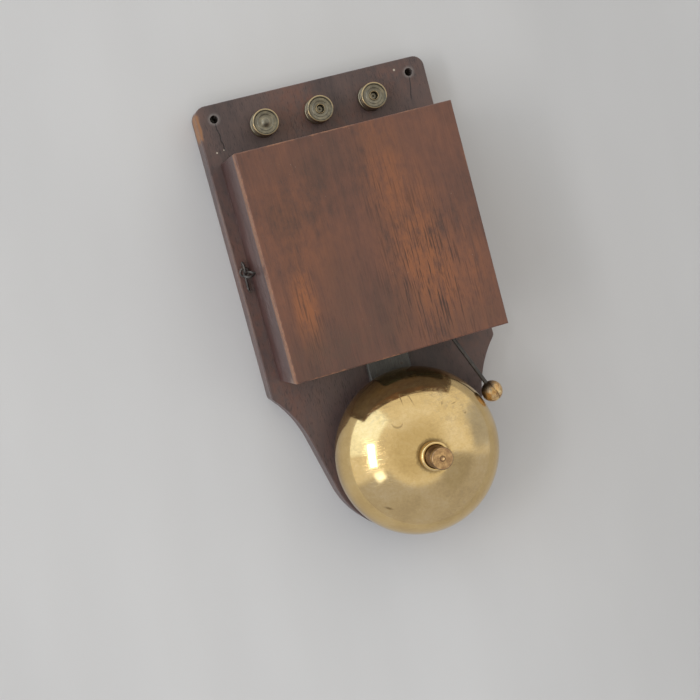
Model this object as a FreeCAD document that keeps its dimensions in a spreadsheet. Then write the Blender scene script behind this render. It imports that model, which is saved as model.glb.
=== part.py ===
import FreeCAD, Part
import math
import os
import re

import Sketcher

# Electric bell demonstrator: a trembler bell on a wooden backboard.
# X runs across the board, +Y towards the terminals, +Z out of the front.
# The board's back face is z = 0 and the origin is the middle of the bell's outline.
# Lengths are millimetres and angles are degrees.

doc = FreeCAD.newDocument("electric_bell")
X_AXIS = FreeCAD.Vector(1, 0, 0)
Y_AXIS = FreeCAD.Vector(0, 1, 0)
Z_AXIS = FreeCAD.Vector(0, 0, 1)

# Driving dimensions. Heights named "up" are above the board's front face.
SIZES = [
    ("board_ledge", 5.6, "backboard beyond the cover on either side"),
    ("board_thick", 12.7, "backboard"),
    ("board_corner", 5.0, "radius of the top corners"),
    ("board_ease", 0.6, "rounding of the front edge"),
    ("end_inside", 0.8, "board's round lower end inside the gong's rim"),
    ("waist_angle", 13.3, "lean of the waist's straight flank"),
    ("cove_radius", 50.0, "hollow curve from the waist to the shoulder"),
    ("shoulder_angle", 42.0, "lean of the cove where it meets the shoulder"),
    ("shoulder_round", 2.5, "rounding of the shoulder"),
    ("wall_screw_dia", 3.6, "holes that hang the bell on a wall"),
    ("wall_screw_side", 8.0, "holes inside the board's sides"),
    ("wall_screw_inset", 6.6, "holes below the top edge"),
    ("case_width", 96.8, "cover, outside"),
    ("case_height", 99.0, "cover, outside, along Y"),
    ("case_depth", 40.6, "cover, from the board to its front face"),
    ("case_wall", 6.5, "side, top and bottom walls"),
    ("case_front", 6.0, "front panel"),
    ("case_ease", 0.7, "rounding of the front panel's edges"),
    ("top_margin", 26.4, "board above the cover"),
    ("notch_beside", 1.4, "notch in the bottom wall, left of the strap"),
    ("notch_side", 4.9, "right end of the notch inside the right wall"),
    ("notch_over", 7.0, "notch above the hammer's axis"),
    ("notch_round", 4.0, "upper corners of the notch"),
    ("gong_x", 1.4, "gong, strap and pillar stand beside the board's middle line"),
    ("gong_gap", 8.4, "cover's lower edge to the gong"),
    ("gong_dia", 75.6, "gong at its rim"),
    ("gong_rise", 26.0, "rim to the top of the full curve"),
    ("gong_side_radius", 19.5, "tight curve next to the rim"),
    ("gong_thick", 1.5, "gong metal"),
    ("gong_up", 12.0, "rim above the board"),
    ("crown_radius", 8.0, "flat at the gong's crown"),
    ("stud_dia", 9.8, "threaded end of the pillar"),
    ("stud_up", 51.5, "top of the pillar"),
    ("pillar_foot_dia", 16.0, "foot of the pillar"),
    ("pillar_foot_thick", 3.0, "foot of the pillar"),
    ("pillar_waist_dia", 10.0, "column's narrow middle"),
    ("pillar_spigot_dia", 8.0, "spigot riveted in the strap"),
    ("washer_thick", 1.0, "leather under the gong"),
    ("nut_dia", 13.0, "ring nut over the gong"),
    ("nut_high", 4.6, "ring nut"),
    ("nut_dish", 1.6, "depth of the dish in the nut's face"),
    ("thread_gap", 0.05, "running fit of every nut and screw, on the radius"),
    ("plate_thick", 3.0, "iron frame plate"),
    ("plate_rise", 16.7, "frame plate's lower edge above the cover's"),
    ("plate_beside", 1.0, "frame plate beyond the bracket"),
    ("plate_screw_side", 7.0, "left wood screws inside the plate's left edge"),
    ("plate_screw_low", 4.5, "lower left wood screw above the plate's lower edge"),
    ("plate_screw_right", 5.5, "right wood screw inside the plate's right edge"),
    ("plate_screw_rise", 6.0, "right wood screw above the plate's lower edge"),
    ("strap_screw_rise", 12.5, "strap's wood screw above the cover's lower edge"),
    ("screw_margin", 0.7, "round the upper wood screw's head"),
    ("ear_above", 0.6, "plate's ear beyond the bracket"),
    ("ear_clear", 0.8, "plate's ear inside the cover's top wall"),
    ("strap_width", 20.0, "strap to the gong"),
    ("strap_fillet", 8.0, "strap into plate"),
    ("plate_corner", 3.0, "outer corners of the plate"),
    ("axis_up", 15.0, "magnet axes, armature and hammer above the board"),
    ("core_rise", 39.7, "lower core's axis above the cover's lower edge"),
    ("core_spacing", 26.0, "between the two cores"),
    ("core_dia", 8.0, "soft iron core"),
    ("pole_reach", 17.5, "pole faces to the contact pillar"),
    ("yoke_clear", 3.9, "yoke's foot inside the cover's left wall"),
    ("yoke_thick", 3.5, "yoke bar"),
    ("yoke_width", 42.0, "yoke bar along Y"),
    ("yoke_foot", 13.0, "yoke's foot, out from its back"),
    ("core_screw_dia", 3.0, "screws through the yoke into the cores"),
    ("bobbin_wall", 0.8, "bobbin's tube"),
    ("cheek_dia", 21.0, "bobbin's cheeks"),
    ("cheek_thick", 1.6, "bobbin's cheeks"),
    ("pole_out", 3.0, "cores beyond the front cheeks"),
    ("coil_dia", 20.0, "winding"),
    ("slip_gap", 0.1, "bobbin on its core, on the radius"),
    ("pole_gap", 1.0, "pole faces to the armature at rest"),
    ("armature_thick", 4.0, "soft iron bar"),
    ("armature_wide", 10.0, "soft iron bar, along Z"),
    ("armature_past", 9.0, "either end past its core's axis"),
    ("spring_thick", 0.5, "flat spring"),
    ("spring_wide", 8.0, "flat spring"),
    ("leaf_off", 15.0, "contact leaf leaves the armature, above the lower core's axis"),
    ("leaf_straight", 6.5, "contact leaf straightens, above the lower core's axis"),
    ("leaf_tip", 2.5, "tip of the contact leaf, above the lower core's axis"),
    ("leaf_out", 1.6, "contact leaf's stand-off from the armature"),
    ("rivet_dia", 2.0, "armature rivets"),
    ("clamp_tall", 8.4, "bracket and clamp plate, along Y"),
    ("clamp_thick", 2.0, "clamp plate"),
    ("clamp_wide", 9.0, "clamp plate and bracket, along Z"),
    ("clamp_screw_dia", 2.0, "screws through clamp plate and spring"),
    ("bracket_thick", 3.0, "bracket"),
    ("bracket_foot", 13.5, "bracket's foot, in from the spring"),
    ("foot_margin", 1.0, "plate's ear beyond the bracket's foot"),
    ("rod_dia", 1.8, "hammer rod"),
    ("rod_grip", 6.0, "rod's length inside the armature"),
    ("rod_bend_drop", 1.5, "bend below the armature's end"),
    ("rod_bend_radius", 4.0, "bend of the hammer rod"),
    ("ball_dia", 9.6, "hammer ball"),
    ("ball_gap", 0.65, "ball to gong at rest"),
    ("strike_bearing", 22.1, "direction from the gong's centre to the ball"),
    ("contact_rise", 7.0, "contact pillar above the lower core's axis"),
    ("contact_pillar_dia", 7.2, "contact pillar"),
    ("contact_foot_dia", 10.0, "foot of the contact pillar"),
    ("contact_foot_thick", 2.0, "foot of the contact pillar"),
    ("contact_screw_dia", 3.0, "contact screw"),
    ("contact_head_dia", 7.0, "milled head of the contact screw"),
    ("contact_head_thick", 3.0, "milled head"),
    ("contact_head_clear", 1.1, "milled head's outer face to the cover's right wall"),
    ("contact_head_out", 6.3, "contact pillar's axis to the milled head"),
    ("contact_gap", 0.05, "contact tip to its leaf"),
    ("lock_nut_dia", 6.4, "lock nut"),
    ("lock_nut_thick", 2.0, "lock nut"),
    ("insulator_wide", 14.0, "insulating block"),
    ("insulator_long", 16.0, "insulating block"),
    ("insulator_thick", 3.0, "insulating block"),
    ("wood_screw_dia", 3.2, "wood screws in the frame plate"),
    ("wood_screw_head", 6.6, "round heads"),
    ("wood_screw_long", 9.0, "length below the head"),
    ("terminal_spacing", 25.4, "between the terminals"),
    ("terminal_inset", 13.8, "terminals below the board's top edge"),
    ("post_dia", 3.2, "terminal's stud"),
    ("flange_dia", 12.0, "terminal's flange"),
    ("flange_thick", 2.4, "terminal's flange"),
    ("thumb_dia", 11.8, "thumb nut"),
    ("thumb_up", 8.0, "top of the thumb nut's rim"),
    ("thumb_high", 4.5, "thumb nut's drum"),
    ("thumb_neck_dia", 6.0, "thumb nut's neck"),
    ("counterbore_dia", 11.0, "pocket behind each terminal"),
    ("counterbore_deep", 5.4, "pocket behind each terminal"),
    ("back_washer_dia", 8.5, "washer behind the board"),
    ("back_washer_thick", 0.8, "washer behind the board"),
    ("back_nut_dia", 6.6, "back nut, across its corners"),
    ("back_nut_thick", 2.4, "back nut"),
    ("wire_dia", 1.8, "covered wire"),
    ("wire_bend", 2.6, "least bend of the covered wire"),
    ("groove_wide", 3.0, "wire grooves behind the board"),
    ("lead_hole_above", 4.0, "left and middle wire holes above the frame plate"),
    ("lead_hole_beside", 5.0, "middle wire's hole left of the plate's ear"),
    ("pillar_hole_above", 5.0, "right wire's hole above the insulating block"),
    ("pillar_hole_beside", 6.1, "right wire's hole left of the contact pillar"),
    ("catch_out", 2.85, "catches outside the cover's walls"),
    ("catch_rise", 52.4, "catch's screw eye above the cover's lower edge"),
    ("catch_wire_dia", 1.1, "wire of hooks and eyes"),
    ("board_eye_radius", 2.5, "board eye, to its wire's centre"),
    ("wall_eye_radius", 2.0, "wall eye, to its wire's centre"),
    ("hook_eye_radius", 1.9, "hook's own eye, to its wire's centre"),
    ("hook_length", 10.2, "hook's eye to its bend"),
    ("hook_tip", 4.4, "hook's turned tip"),
    ("hook_bend", 1.3, "radius of the hook's bend"),
    ("latch_angle", 58.0, "hook's rise when it is latched"),
    ("latch_reach", 2.6, "wall eye ahead of the latched hook's shank"),
    ("catch_rest_gap", 0.2, "catch above the board at rest"),
    ("eye_shank_dia", 1.3, "threaded shank of an eye"),
    ("eye_shank_long", 7.0, "shank of the board eye in the wood"),
    ("wall_shank_long", 4.5, "shank of the wall eye in the wood"),
    ("bore_gap", 0.02, "screws, eyes and rods in their holes, on the radius"),
]

# Places and derived sizes, worked out from the sheet above.
LAYOUT = [
    ("case_half", "case_width / 2"),
    ("case_inner", "case_half - case_wall"),
    ("board_half", "case_half + board_ledge"),
    ("half_length", "(top_margin + case_height + gong_gap + gong_dia) / 2"),
    ("case_high", "half_length - top_margin"),
    ("case_low", "case_high - case_height"),
    ("gong_radius", "gong_dia / 2"),
    ("gong_y", "gong_radius - half_length"),
    ("end_radius", "gong_radius - end_inside"),
    ("waist_low_x", "end_radius * cos(waist_angle)"),
    ("waist_low_y", "gong_y - end_radius * sin(waist_angle)"),
    ("shoulder_low_x", "board_half - shoulder_round * (1 - cos(shoulder_angle))"),
    ("cove_room", "0.9 * (shoulder_low_x - waist_low_x) / (cos(waist_angle) - cos(shoulder_angle))"),
    ("cove_used", "min(cove_radius; cove_room)"),
    ("cove_wide", "cove_used * (cos(waist_angle) - cos(shoulder_angle))"),
    ("cove_tall", "cove_used * (sin(shoulder_angle) - sin(waist_angle))"),
    ("cove_low_x", "shoulder_low_x - cove_wide"),
    ("cove_low_y", "waist_low_y + (cove_low_x - waist_low_x) / tan(waist_angle)"),
    ("shoulder_low_y", "cove_low_y + cove_tall"),
    ("shoulder_y", "shoulder_low_y + shoulder_round * sin(shoulder_angle)"),
    ("wall_screw_y", "half_length - wall_screw_inset"),
    ("terminal_y", "half_length - terminal_inset"),
    ("wall_depth", "case_depth - case_front"),
    ("wall_screw_x", "board_half - wall_screw_side"),
    ("crown_side", "gong_radius - gong_side_radius"),
    ("gong_crown_radius", "(crown_side ^ 2 + gong_rise ^ 2 - gong_side_radius ^ 2)"
                          " / (2 * (gong_rise - gong_side_radius))"),
    ("crown_drop", "gong_rise - gong_crown_radius"),
    ("bend_share", "gong_side_radius / (gong_crown_radius - gong_side_radius)"),
    ("turn_x", "crown_side * (1 + bend_share)"),
    ("turn_z", "-crown_drop * bend_share"),
    ("turn_in_x", "turn_x - crown_side * gong_thick / (gong_crown_radius - gong_side_radius)"),
    ("turn_in_z", "turn_z + crown_drop * gong_thick / (gong_crown_radius - gong_side_radius)"),
    ("crown_z", "crown_drop + sqrt(gong_crown_radius ^ 2 - crown_radius ^ 2)"),
    ("crown_in_x", "sqrt((gong_crown_radius - gong_thick) ^ 2 - (crown_z - gong_thick - crown_drop) ^ 2)"),
    ("stud_radius", "stud_dia / 2"),
    ("nut_bore_radius", "stud_radius + thread_gap"),
    ("crown_up", "gong_up + crown_z"),
    ("seat_up", "crown_up - gong_thick - washer_thick"),
    ("strap_half", "strap_width / 2"),
    ("notch_left", "gong_x - strap_half - notch_beside"),
    ("notch_right", "case_inner - notch_side"),
    ("notch_up", "axis_up + notch_over"),
    ("contact_head_x", "case_inner - contact_head_clear - contact_head_thick"),
    ("contact_x", "contact_head_x - contact_head_out"),
    ("pole_x", "contact_x - pole_reach"),
    ("bobbin_end", "pole_x - pole_out"),
    ("plate_left", "yoke_clear - case_inner"),
    ("yoke_x", "plate_left + yoke_foot"),
    ("yoke_front", "yoke_x + yoke_thick"),
    ("core_low_y", "case_low + core_rise"),
    ("core_high_y", "core_low_y + core_spacing"),
    ("core_middle_y", "core_low_y + core_spacing / 2"),
    ("bobbin_bore", "core_dia / 2 + slip_gap"),
    ("tube_radius", "bobbin_bore + bobbin_wall"),
    ("coil_radius", "coil_dia / 2"),
    ("armature_x", "pole_x + pole_gap"),
    ("spring_x", "armature_x + armature_thick"),
    ("bracket_x", "spring_x + spring_thick"),
    ("armature_mid_x", "armature_x + armature_thick / 2"),
    ("armature_low", "core_low_y - armature_past"),
    ("armature_high", "core_high_y + armature_past"),
    ("ear_high", "case_high - case_wall - ear_clear"),
    ("clamp_high", "ear_high - ear_above"),
    ("clamp_low", "clamp_high - clamp_tall"),
    ("leaf_off_y", "core_low_y + leaf_off"),
    ("leaf_touch_y", "core_low_y + leaf_straight"),
    ("leaf_low_y", "core_low_y + leaf_tip"),
    ("contact_y", "core_low_y + contact_rise"),
    ("ear_left", "bracket_x - bracket_foot - foot_margin"),
    ("plate_right", "bracket_x + bracket_thick + plate_beside"),
    ("plate_low", "case_low + plate_rise"),
    ("upper_screw_y", "core_middle_y + yoke_width / 2 + screw_margin + wood_screw_head / 2"),
    ("plate_high", "upper_screw_y + wood_screw_head / 2 + screw_margin"),
    ("lead_hole_y", "plate_high + lead_hole_above"),
    ("middle_hole_x", "ear_left - lead_hole_beside"),
    ("pillar_hole_x", "contact_x - pillar_hole_beside"),
    ("pillar_hole_y", "contact_y + insulator_long / 2 + pillar_hole_above"),
    ("rod_bend_y", "armature_low - rod_bend_drop"),
    ("ball_reach", "gong_radius + ball_gap + ball_dia / 2"),
    ("ball_x", "gong_x + ball_reach * cos(strike_bearing)"),
    ("ball_y", "gong_y + ball_reach * sin(strike_bearing)"),
    ("rod_lean", "atan((ball_x - armature_mid_x) / (rod_bend_y - ball_y))"),
    ("leaf_x", "spring_x + leaf_out"),
    ("contact_tip_x", "leaf_x + spring_thick + contact_gap"),
    ("catch_x", "case_half + catch_out"),
    ("catch_y", "case_low + catch_rise"),
    ("catch_up", "board_eye_radius + catch_wire_dia / 2 + catch_rest_gap"),
    ("hook_droop", "asin((catch_up - catch_wire_dia / 2 - catch_rest_gap) / hook_length)"),
]

SIZE_NAMES = {name for name, value, note in SIZES}
LAYOUT_NAMES = {name for name, formula in LAYOUT}


def bound(text):
    """Spells out an expression, with each name read from its own sheet."""
    def spell(match):
        word = match.group(0)
        if word in SIZE_NAMES:
            return "Sizes." + word
        if word in LAYOUT_NAMES:
            return "Layout." + word
        return word
    return re.sub(r"[A-Za-z_]\w*", spell, str(text))


def fill_sheet(name, rows):
    """A sheet with a name and a content for each row, and the content's cell named after it."""
    sheet = doc.addObject("Spreadsheet::Sheet", name)
    for row, (alias, content, note) in enumerate(rows, start=1):
        sheet.set(f"A{row}", alias)
        sheet.set(f"B{row}", content)
        sheet.set(f"C{row}", note)
        sheet.setAlias(f"B{row}", alias)
    doc.recompute()
    return sheet


sizes = fill_sheet("Sizes", [(name, str(value), note) for name, value, note in SIZES])
layout_rows = []
for name, formula in LAYOUT:
    spelled = re.sub(r"[A-Za-z_]\w*", lambda m: "Sizes." + m[0] if m[0] in SIZE_NAMES else m[0], formula)
    layout_rows.append((name, "=" + spelled, ""))
layout = fill_sheet("Layout", layout_rows)


def number(text):
    """The value of an expression as a plain number."""
    value = layout.evalExpression(bound(text))
    return float(getattr(value, "Value", value))


# Bodies, sketches and features

def new_body(name):
    body = doc.addObject("PartDesign::Body", name)
    body.Label = name
    return body


def new_sketch(body, role="XY_Plane", lift="0"):
    """A sketch on one of the body's own origin planes, lifted along the plane's normal."""
    sketch = body.newObject("Sketcher::SketchObject", "Sketch")
    plane = [feature for feature in body.Origin.OriginFeatures if feature.Role == role][0]
    sketch.AttachmentSupport = [(plane, "")]
    sketch.MapMode = "FlatFace"
    if lift != "0":
        sketch.setExpression("AttachmentOffset.Base.z", bound(lift))
    return sketch


def pin_point(sketch, element, point, x, y):
    """Holds a point of a sketch at two coordinates."""
    for kind, text in (("DistanceX", x), ("DistanceY", y)):
        index = sketch.addConstraint(Sketcher.Constraint(kind, -1, 1, element, point, number(text)))
        sketch.setExpression(f"Constraints[{index}]", bound(text))


def add_circle(sketch, x, y, diameter):
    centre = FreeCAD.Vector(number(x), number(y), 0)
    element = sketch.addGeometry(Part.Circle(centre, Z_AXIS, number(diameter) / 2))
    pin_point(sketch, element, 3, x, y)
    index = sketch.addConstraint(Sketcher.Constraint("Diameter", element, number(diameter)))
    sketch.setExpression(f"Constraints[{index}]", bound(diameter))


def add_outline(sketch, start, steps):
    """A closed outline. A step is (x, y) for a line, or (x, y, radius, turn) for an arc of
    under half a circle, with turn +1 anticlockwise and -1 clockwise."""
    corners = [start] + [step[:2] for step in steps[:-1]]
    ends = []
    for (x0, y0), step in zip(corners, steps):
        first = FreeCAD.Vector(number(x0), number(y0), 0)
        last = FreeCAD.Vector(number(step[0]), number(step[1]), 0)
        if len(step) == 2:
            element = sketch.addGeometry(Part.LineSegment(first, last))
            ends.append((element, 1, 2))
        else:
            radius, turn = number(step[2]), step[3]
            chord = last - first
            left = FreeCAD.Vector(-chord.y, chord.x, 0) / chord.Length
            rise = math.sqrt(max(radius ** 2 - (chord.Length / 2) ** 2, 0))
            centre = (first + last) / 2 + left * (rise * turn)
            tail, head = (first, last) if turn > 0 else (last, first)
            begin = math.atan2(tail.y - centre.y, tail.x - centre.x)
            finish = math.atan2(head.y - centre.y, head.x - centre.x)
            if finish < begin:
                finish += 2 * math.pi
            circle = Part.Circle(centre, Z_AXIS, radius)
            element = sketch.addGeometry(Part.ArcOfCircle(circle, begin, finish))
            ends.append((element, 1, 2) if turn > 0 else (element, 2, 1))
            index = sketch.addConstraint(Sketcher.Constraint("Radius", element, radius))
            sketch.setExpression(f"Constraints[{index}]", bound(step[2]))
    for place, (element, tail, head) in enumerate(ends):
        following, following_tail, unused = ends[(place + 1) % len(ends)]
        sketch.addConstraint(Sketcher.Constraint("Coincident", element, head, following, following_tail))
        pin_point(sketch, element, tail, *corners[place])


def add_box(sketch, x0, y0, x1, y1):
    add_outline(sketch, (x0, y0), [(x1, y0), (x1, y1), (x0, y1), (x0, y0)])


def add_feature(body, kind, sketch):
    feature = body.newObject("PartDesign::" + kind, kind)
    feature.Profile = sketch
    return feature


def pad(body, sketch, length, both_ways=False):
    feature = add_feature(body, "Pad", sketch)
    feature.setExpression("Length", bound(length))
    if both_ways:
        feature.Midplane = True
    doc.recompute()
    return feature


def pocket(body, sketch, depth=None, upward=False, both_ways=False):
    """Cuts a sketch into the body, against its normal or along it. No depth means right through."""
    before = body.Shape.Volume
    feature = add_feature(body, "Pocket", sketch)
    feature.Reversed = upward
    if both_ways:
        feature.Midplane = True
    if depth is None:
        feature.Type = "ThroughAll"
    else:
        feature.setExpression("Length", bound(depth))
    doc.recompute()
    if body.Shape.Volume > before - 1e-6:
        raise RuntimeError(f"a pocket in {body.Label} cuts nothing")
    return feature


def revolve(body, sketch):
    """Turns a profile once round the sketch's vertical axis."""
    feature = add_feature(body, "Revolution", sketch)
    feature.ReferenceAxis = (sketch, ["V_Axis"])
    feature.Angle = 360
    doc.recompute()
    return feature


def dress(body, kind, size, chosen):
    """A fillet or a chamfer on the edges that the test picks."""
    base = body.Tip
    names = [f"Edge{count}" for count, edge in enumerate(base.Shape.Edges, start=1) if chosen(edge)]
    if not names:
        raise RuntimeError(f"no edge to dress in {body.Label}")
    feature = body.newObject("PartDesign::" + kind, kind)
    feature.Base = (base, names)
    feature.setExpression("Radius" if kind == "Fillet" else "Size", bound(size))
    doc.recompute()
    return feature


def turned(name, profile, start):
    """A body turned from a closed profile of radius and height."""
    body = new_body(name)
    sketch = new_sketch(body, "XZ_Plane")
    add_outline(sketch, start, profile)
    revolve(body, sketch)
    return body


def place(item, x, y, z, rotation=None):
    """Puts an object at a place given by expressions."""
    if rotation:
        item.Placement.Rotation = rotation
    for axis, text in (("x", x), ("y", y), ("z", z)):
        item.setExpression("Placement.Base." + axis, bound(text))
    doc.recompute()
    return item


def lies_at(height):
    """Picks the edges that lie flat at a height."""
    def test(edge):
        return all(abs(vertex.Z - height) < 1e-4 for vertex in edge.Vertexes)
    return test


parts = {}


def keep(name, item):
    """Names a finished sub-part."""
    item.Label = name
    parts[name] = item
    return item


def group(name, items):
    """One node that holds several separate pieces of a kind."""
    compound = doc.addObject("Part::Compound", name)
    compound.Links = items
    doc.recompute()
    return keep(name, compound)


def dome(radius, rise):
    """The radius of a cap that rises from a rim to a smooth top on the axis."""
    return f"((({radius}) ^ 2 + ({rise}) ^ 2) / (2 * ({rise})))"


def round_headed_screw(name, diameter, head, length, point=True):
    """A round-headed slotted screw: seat on its own XY plane, head up, shank down."""
    tip = f"-({length})"
    shank = [(f"({diameter}) / 2", tip)]
    if point:
        shank = [(f"({diameter}) * 0.12", tip), (f"({diameter}) / 2", f"-({length}) * 0.55")]
    body = turned(name, shank + [
        (f"({diameter}) / 2", "0"),
        (f"({head}) / 2", "0"),
        (f"({head}) / 2", f"({head}) * 0.08"),
        ("0", f"({head}) * 0.38", dome(f"({head}) / 2", f"({head}) * 0.3"), 1),
        ("0", tip),
    ], ("0", tip))
    slot = new_sketch(body, "XY_Plane", f"({head}) * 0.4")
    add_box(slot, f"-({head})", f"-({head}) * 0.07", f"({head})", f"({head}) * 0.07")
    pocket(body, slot, f"({head}) * 0.2")
    return body


def tube(points, radius, bend):
    """A round wire along straight runs joined by tangent arcs."""
    edges = []
    last = points[0]
    for corner, following in zip(points[1:-1], points[2:]):
        back = (last - corner).normalize()
        ahead = (following - corner).normalize()
        half_turn = (math.pi - back.getAngle(ahead)) / 2
        cut = bend * math.tan(half_turn)
        enter, leave = corner + back * cut, corner + ahead * cut
        inward = (back + ahead).normalize()
        centre = corner + inward * (bend / math.cos(half_turn))
        edges.append(Part.LineSegment(last, enter).toShape())
        edges.append(Part.Arc(enter, centre - inward * bend, leave).toShape())
        last = leave
    edges.append(Part.LineSegment(last, points[-1]).toShape())
    path = Part.Wire(edges)
    start = (points[1] - points[0]).normalize()
    ring = Part.Wire([Part.Circle(points[0], start, radius).toShape()])
    solid = path.makePipeShell([ring], True, False)
    expected = math.pi * radius ** 2 * path.Length
    if abs(solid.Volume - expected) > 0.01 * expected:
        raise RuntimeError("a wire's volume is not its section times its length")
    return solid


def feature_from(name, shape):
    item = doc.addObject("Part::Feature", name)
    item.Shape = shape
    return item


def at(x, y, z):
    """A point from three expressions."""
    return FreeCAD.Vector(number(x), number(y), number(z))


TURN_TO_X = FreeCAD.Rotation(Y_AXIS, 90)
TURN_TO_MINUS_X = FreeCAD.Rotation(Y_AXIS, -90)
FRONT = "board_thick"
TERMINAL_NAMES = {"left": "-terminal_spacing", "middle": "0", "right": "terminal_spacing"}
SIDES = {"left": -1, "right": 1}
PLATE_SCREWS = [("plate_left + plate_screw_side", "upper_screw_y"),
                ("plate_left + plate_screw_side", "plate_low + plate_screw_low"),
                ("plate_right - plate_screw_right", "plate_low + plate_screw_rise"),
                ("gong_x", "case_low + strap_screw_rise")]
WIRE_HOLES = {"left": ("-terminal_spacing", "lead_hole_y"), "middle": ("middle_hole_x", "lead_hole_y"),
              "right": ("pillar_hole_x", "pillar_hole_y")}


# Backboard

def make_backboard():
    body = new_body("backboard")
    outline = new_sketch(body)
    add_outline(outline, ("board_half", "shoulder_y"), [
        ("board_half", "half_length - board_corner"),
        ("board_half - board_corner", "half_length", "board_corner", 1),
        ("board_corner - board_half", "half_length"),
        ("-board_half", "half_length - board_corner", "board_corner", 1),
        ("-board_half", "shoulder_y"),
        ("-shoulder_low_x", "shoulder_low_y", "shoulder_round", 1),
        ("-cove_low_x", "cove_low_y", "cove_used", -1),
        ("-waist_low_x", "waist_low_y"),
        ("waist_low_x", "waist_low_y", "end_radius", 1),
        ("cove_low_x", "cove_low_y"),
        ("shoulder_low_x", "shoulder_low_y", "cove_used", -1),
        ("board_half", "shoulder_y", "shoulder_round", 1),
    ])
    pad(body, outline, "board_thick")
    dress(body, "Fillet", "board_ease", lies_at(number("board_thick")))

    through = new_sketch(body)
    for side in (-1, 1):
        add_circle(through, f"{side} * wall_screw_x", "wall_screw_y", "wall_screw_dia")
    for x in TERMINAL_NAMES.values():
        add_circle(through, x, "terminal_y", "post_dia + 4 * bore_gap")
    for x, y in WIRE_HOLES.values():
        add_circle(through, x, y, "groove_wide")
    pocket(body, through, upward=True)

    counterbores = new_sketch(body)
    for x in TERMINAL_NAMES.values():
        add_circle(counterbores, x, "terminal_y", "counterbore_dia")
    pocket(body, counterbores, "counterbore_deep", upward=True)

    for side, (x, y) in WIRE_HOLES.items():
        top = TERMINAL_NAMES[side]
        groove = new_sketch(body)
        add_outline(groove, (f"{x} - groove_wide / 2", y), [
            (f"{x} + groove_wide / 2", y), (f"{top} + groove_wide / 2", "terminal_y"),
            (f"{top} - groove_wide / 2", "terminal_y"), (f"{x} - groove_wide / 2", y)])
        pocket(body, groove, "groove_wide", upward=True)

    pilots = new_sketch(body, lift="board_thick")
    for x, y in PLATE_SCREWS:
        add_circle(pilots, x, y, "wood_screw_dia + 2 * bore_gap")
    add_circle(pilots, "contact_x", "contact_y", "contact_screw_dia + 2 * bore_gap")
    pocket(body, pilots, "wood_screw_long - plate_thick + 1.5")
    eye_holes = new_sketch(body, lift="board_thick")
    for side in SIDES.values():
        add_circle(eye_holes, f"{side} * catch_x", "catch_y", "eye_shank_dia + 2 * bore_gap")
    pocket(body, eye_holes, "eye_shank_long + 0.5")
    keep("backboard", body)


# Cover: a glued box of five boards that lifts straight off

def board_body(name, x0, y0, x1, y1, up, thick):
    """A flat board of the cover between two corners, its underside at a height."""
    body = new_body(name)
    sketch = new_sketch(body)
    add_box(sketch, x0, y0, x1, y1)
    pad(body, sketch, thick)
    place(body, "0", "0", f"board_thick + {up}")
    return body


def make_cover():
    front = board_body("cover_front", "-case_half", "case_low", "case_half", "case_high",
                       "wall_depth", "case_front")
    dress(front, "Fillet", "case_ease", lies_at(number("case_front")))
    keep("cover_front", front)

    for side, sign in SIDES.items():
        edges = sorted((f"{sign} * case_half", f"{sign} * case_inner"), key=number)
        wall = board_body(f"cover_{side}", edges[0], "case_low", edges[1], "case_high", "0", "wall_depth")
        hole = new_sketch(wall, "YZ_Plane", f"{sign} * case_half")
        add_circle(hole, *wall_eye_spot(), "eye_shank_dia + 2 * bore_gap")
        pocket(wall, hole, "wall_shank_long + 0.3", upward=sign < 0)
        keep(f"cover_{side}", wall)

    keep("cover_top", board_body("cover_top", "-case_inner", "case_high - case_wall",
                                 "case_inner", "case_high", "0", "wall_depth"))

    bottom = new_body("cover_bottom")
    face = new_sketch(bottom, "XZ_Plane")
    add_outline(face, ("-case_inner", "0"), [
        ("notch_left", "0"),
        ("notch_left", "notch_up - notch_round"),
        ("notch_left + notch_round", "notch_up", "notch_round", -1),
        ("notch_right - notch_round", "notch_up"),
        ("notch_right", "notch_up - notch_round", "notch_round", -1),
        ("notch_right", "0"),
        ("case_inner", "0"),
        ("case_inner", "wall_depth"),
        ("-case_inner", "wall_depth"),
        ("-case_inner", "0"),
    ])
    pad(bottom, face, "case_wall")
    place(bottom, "0", "case_low + case_wall", FRONT)
    keep("cover_bottom", bottom)


# Gong, its pillar and what clamps it

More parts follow.
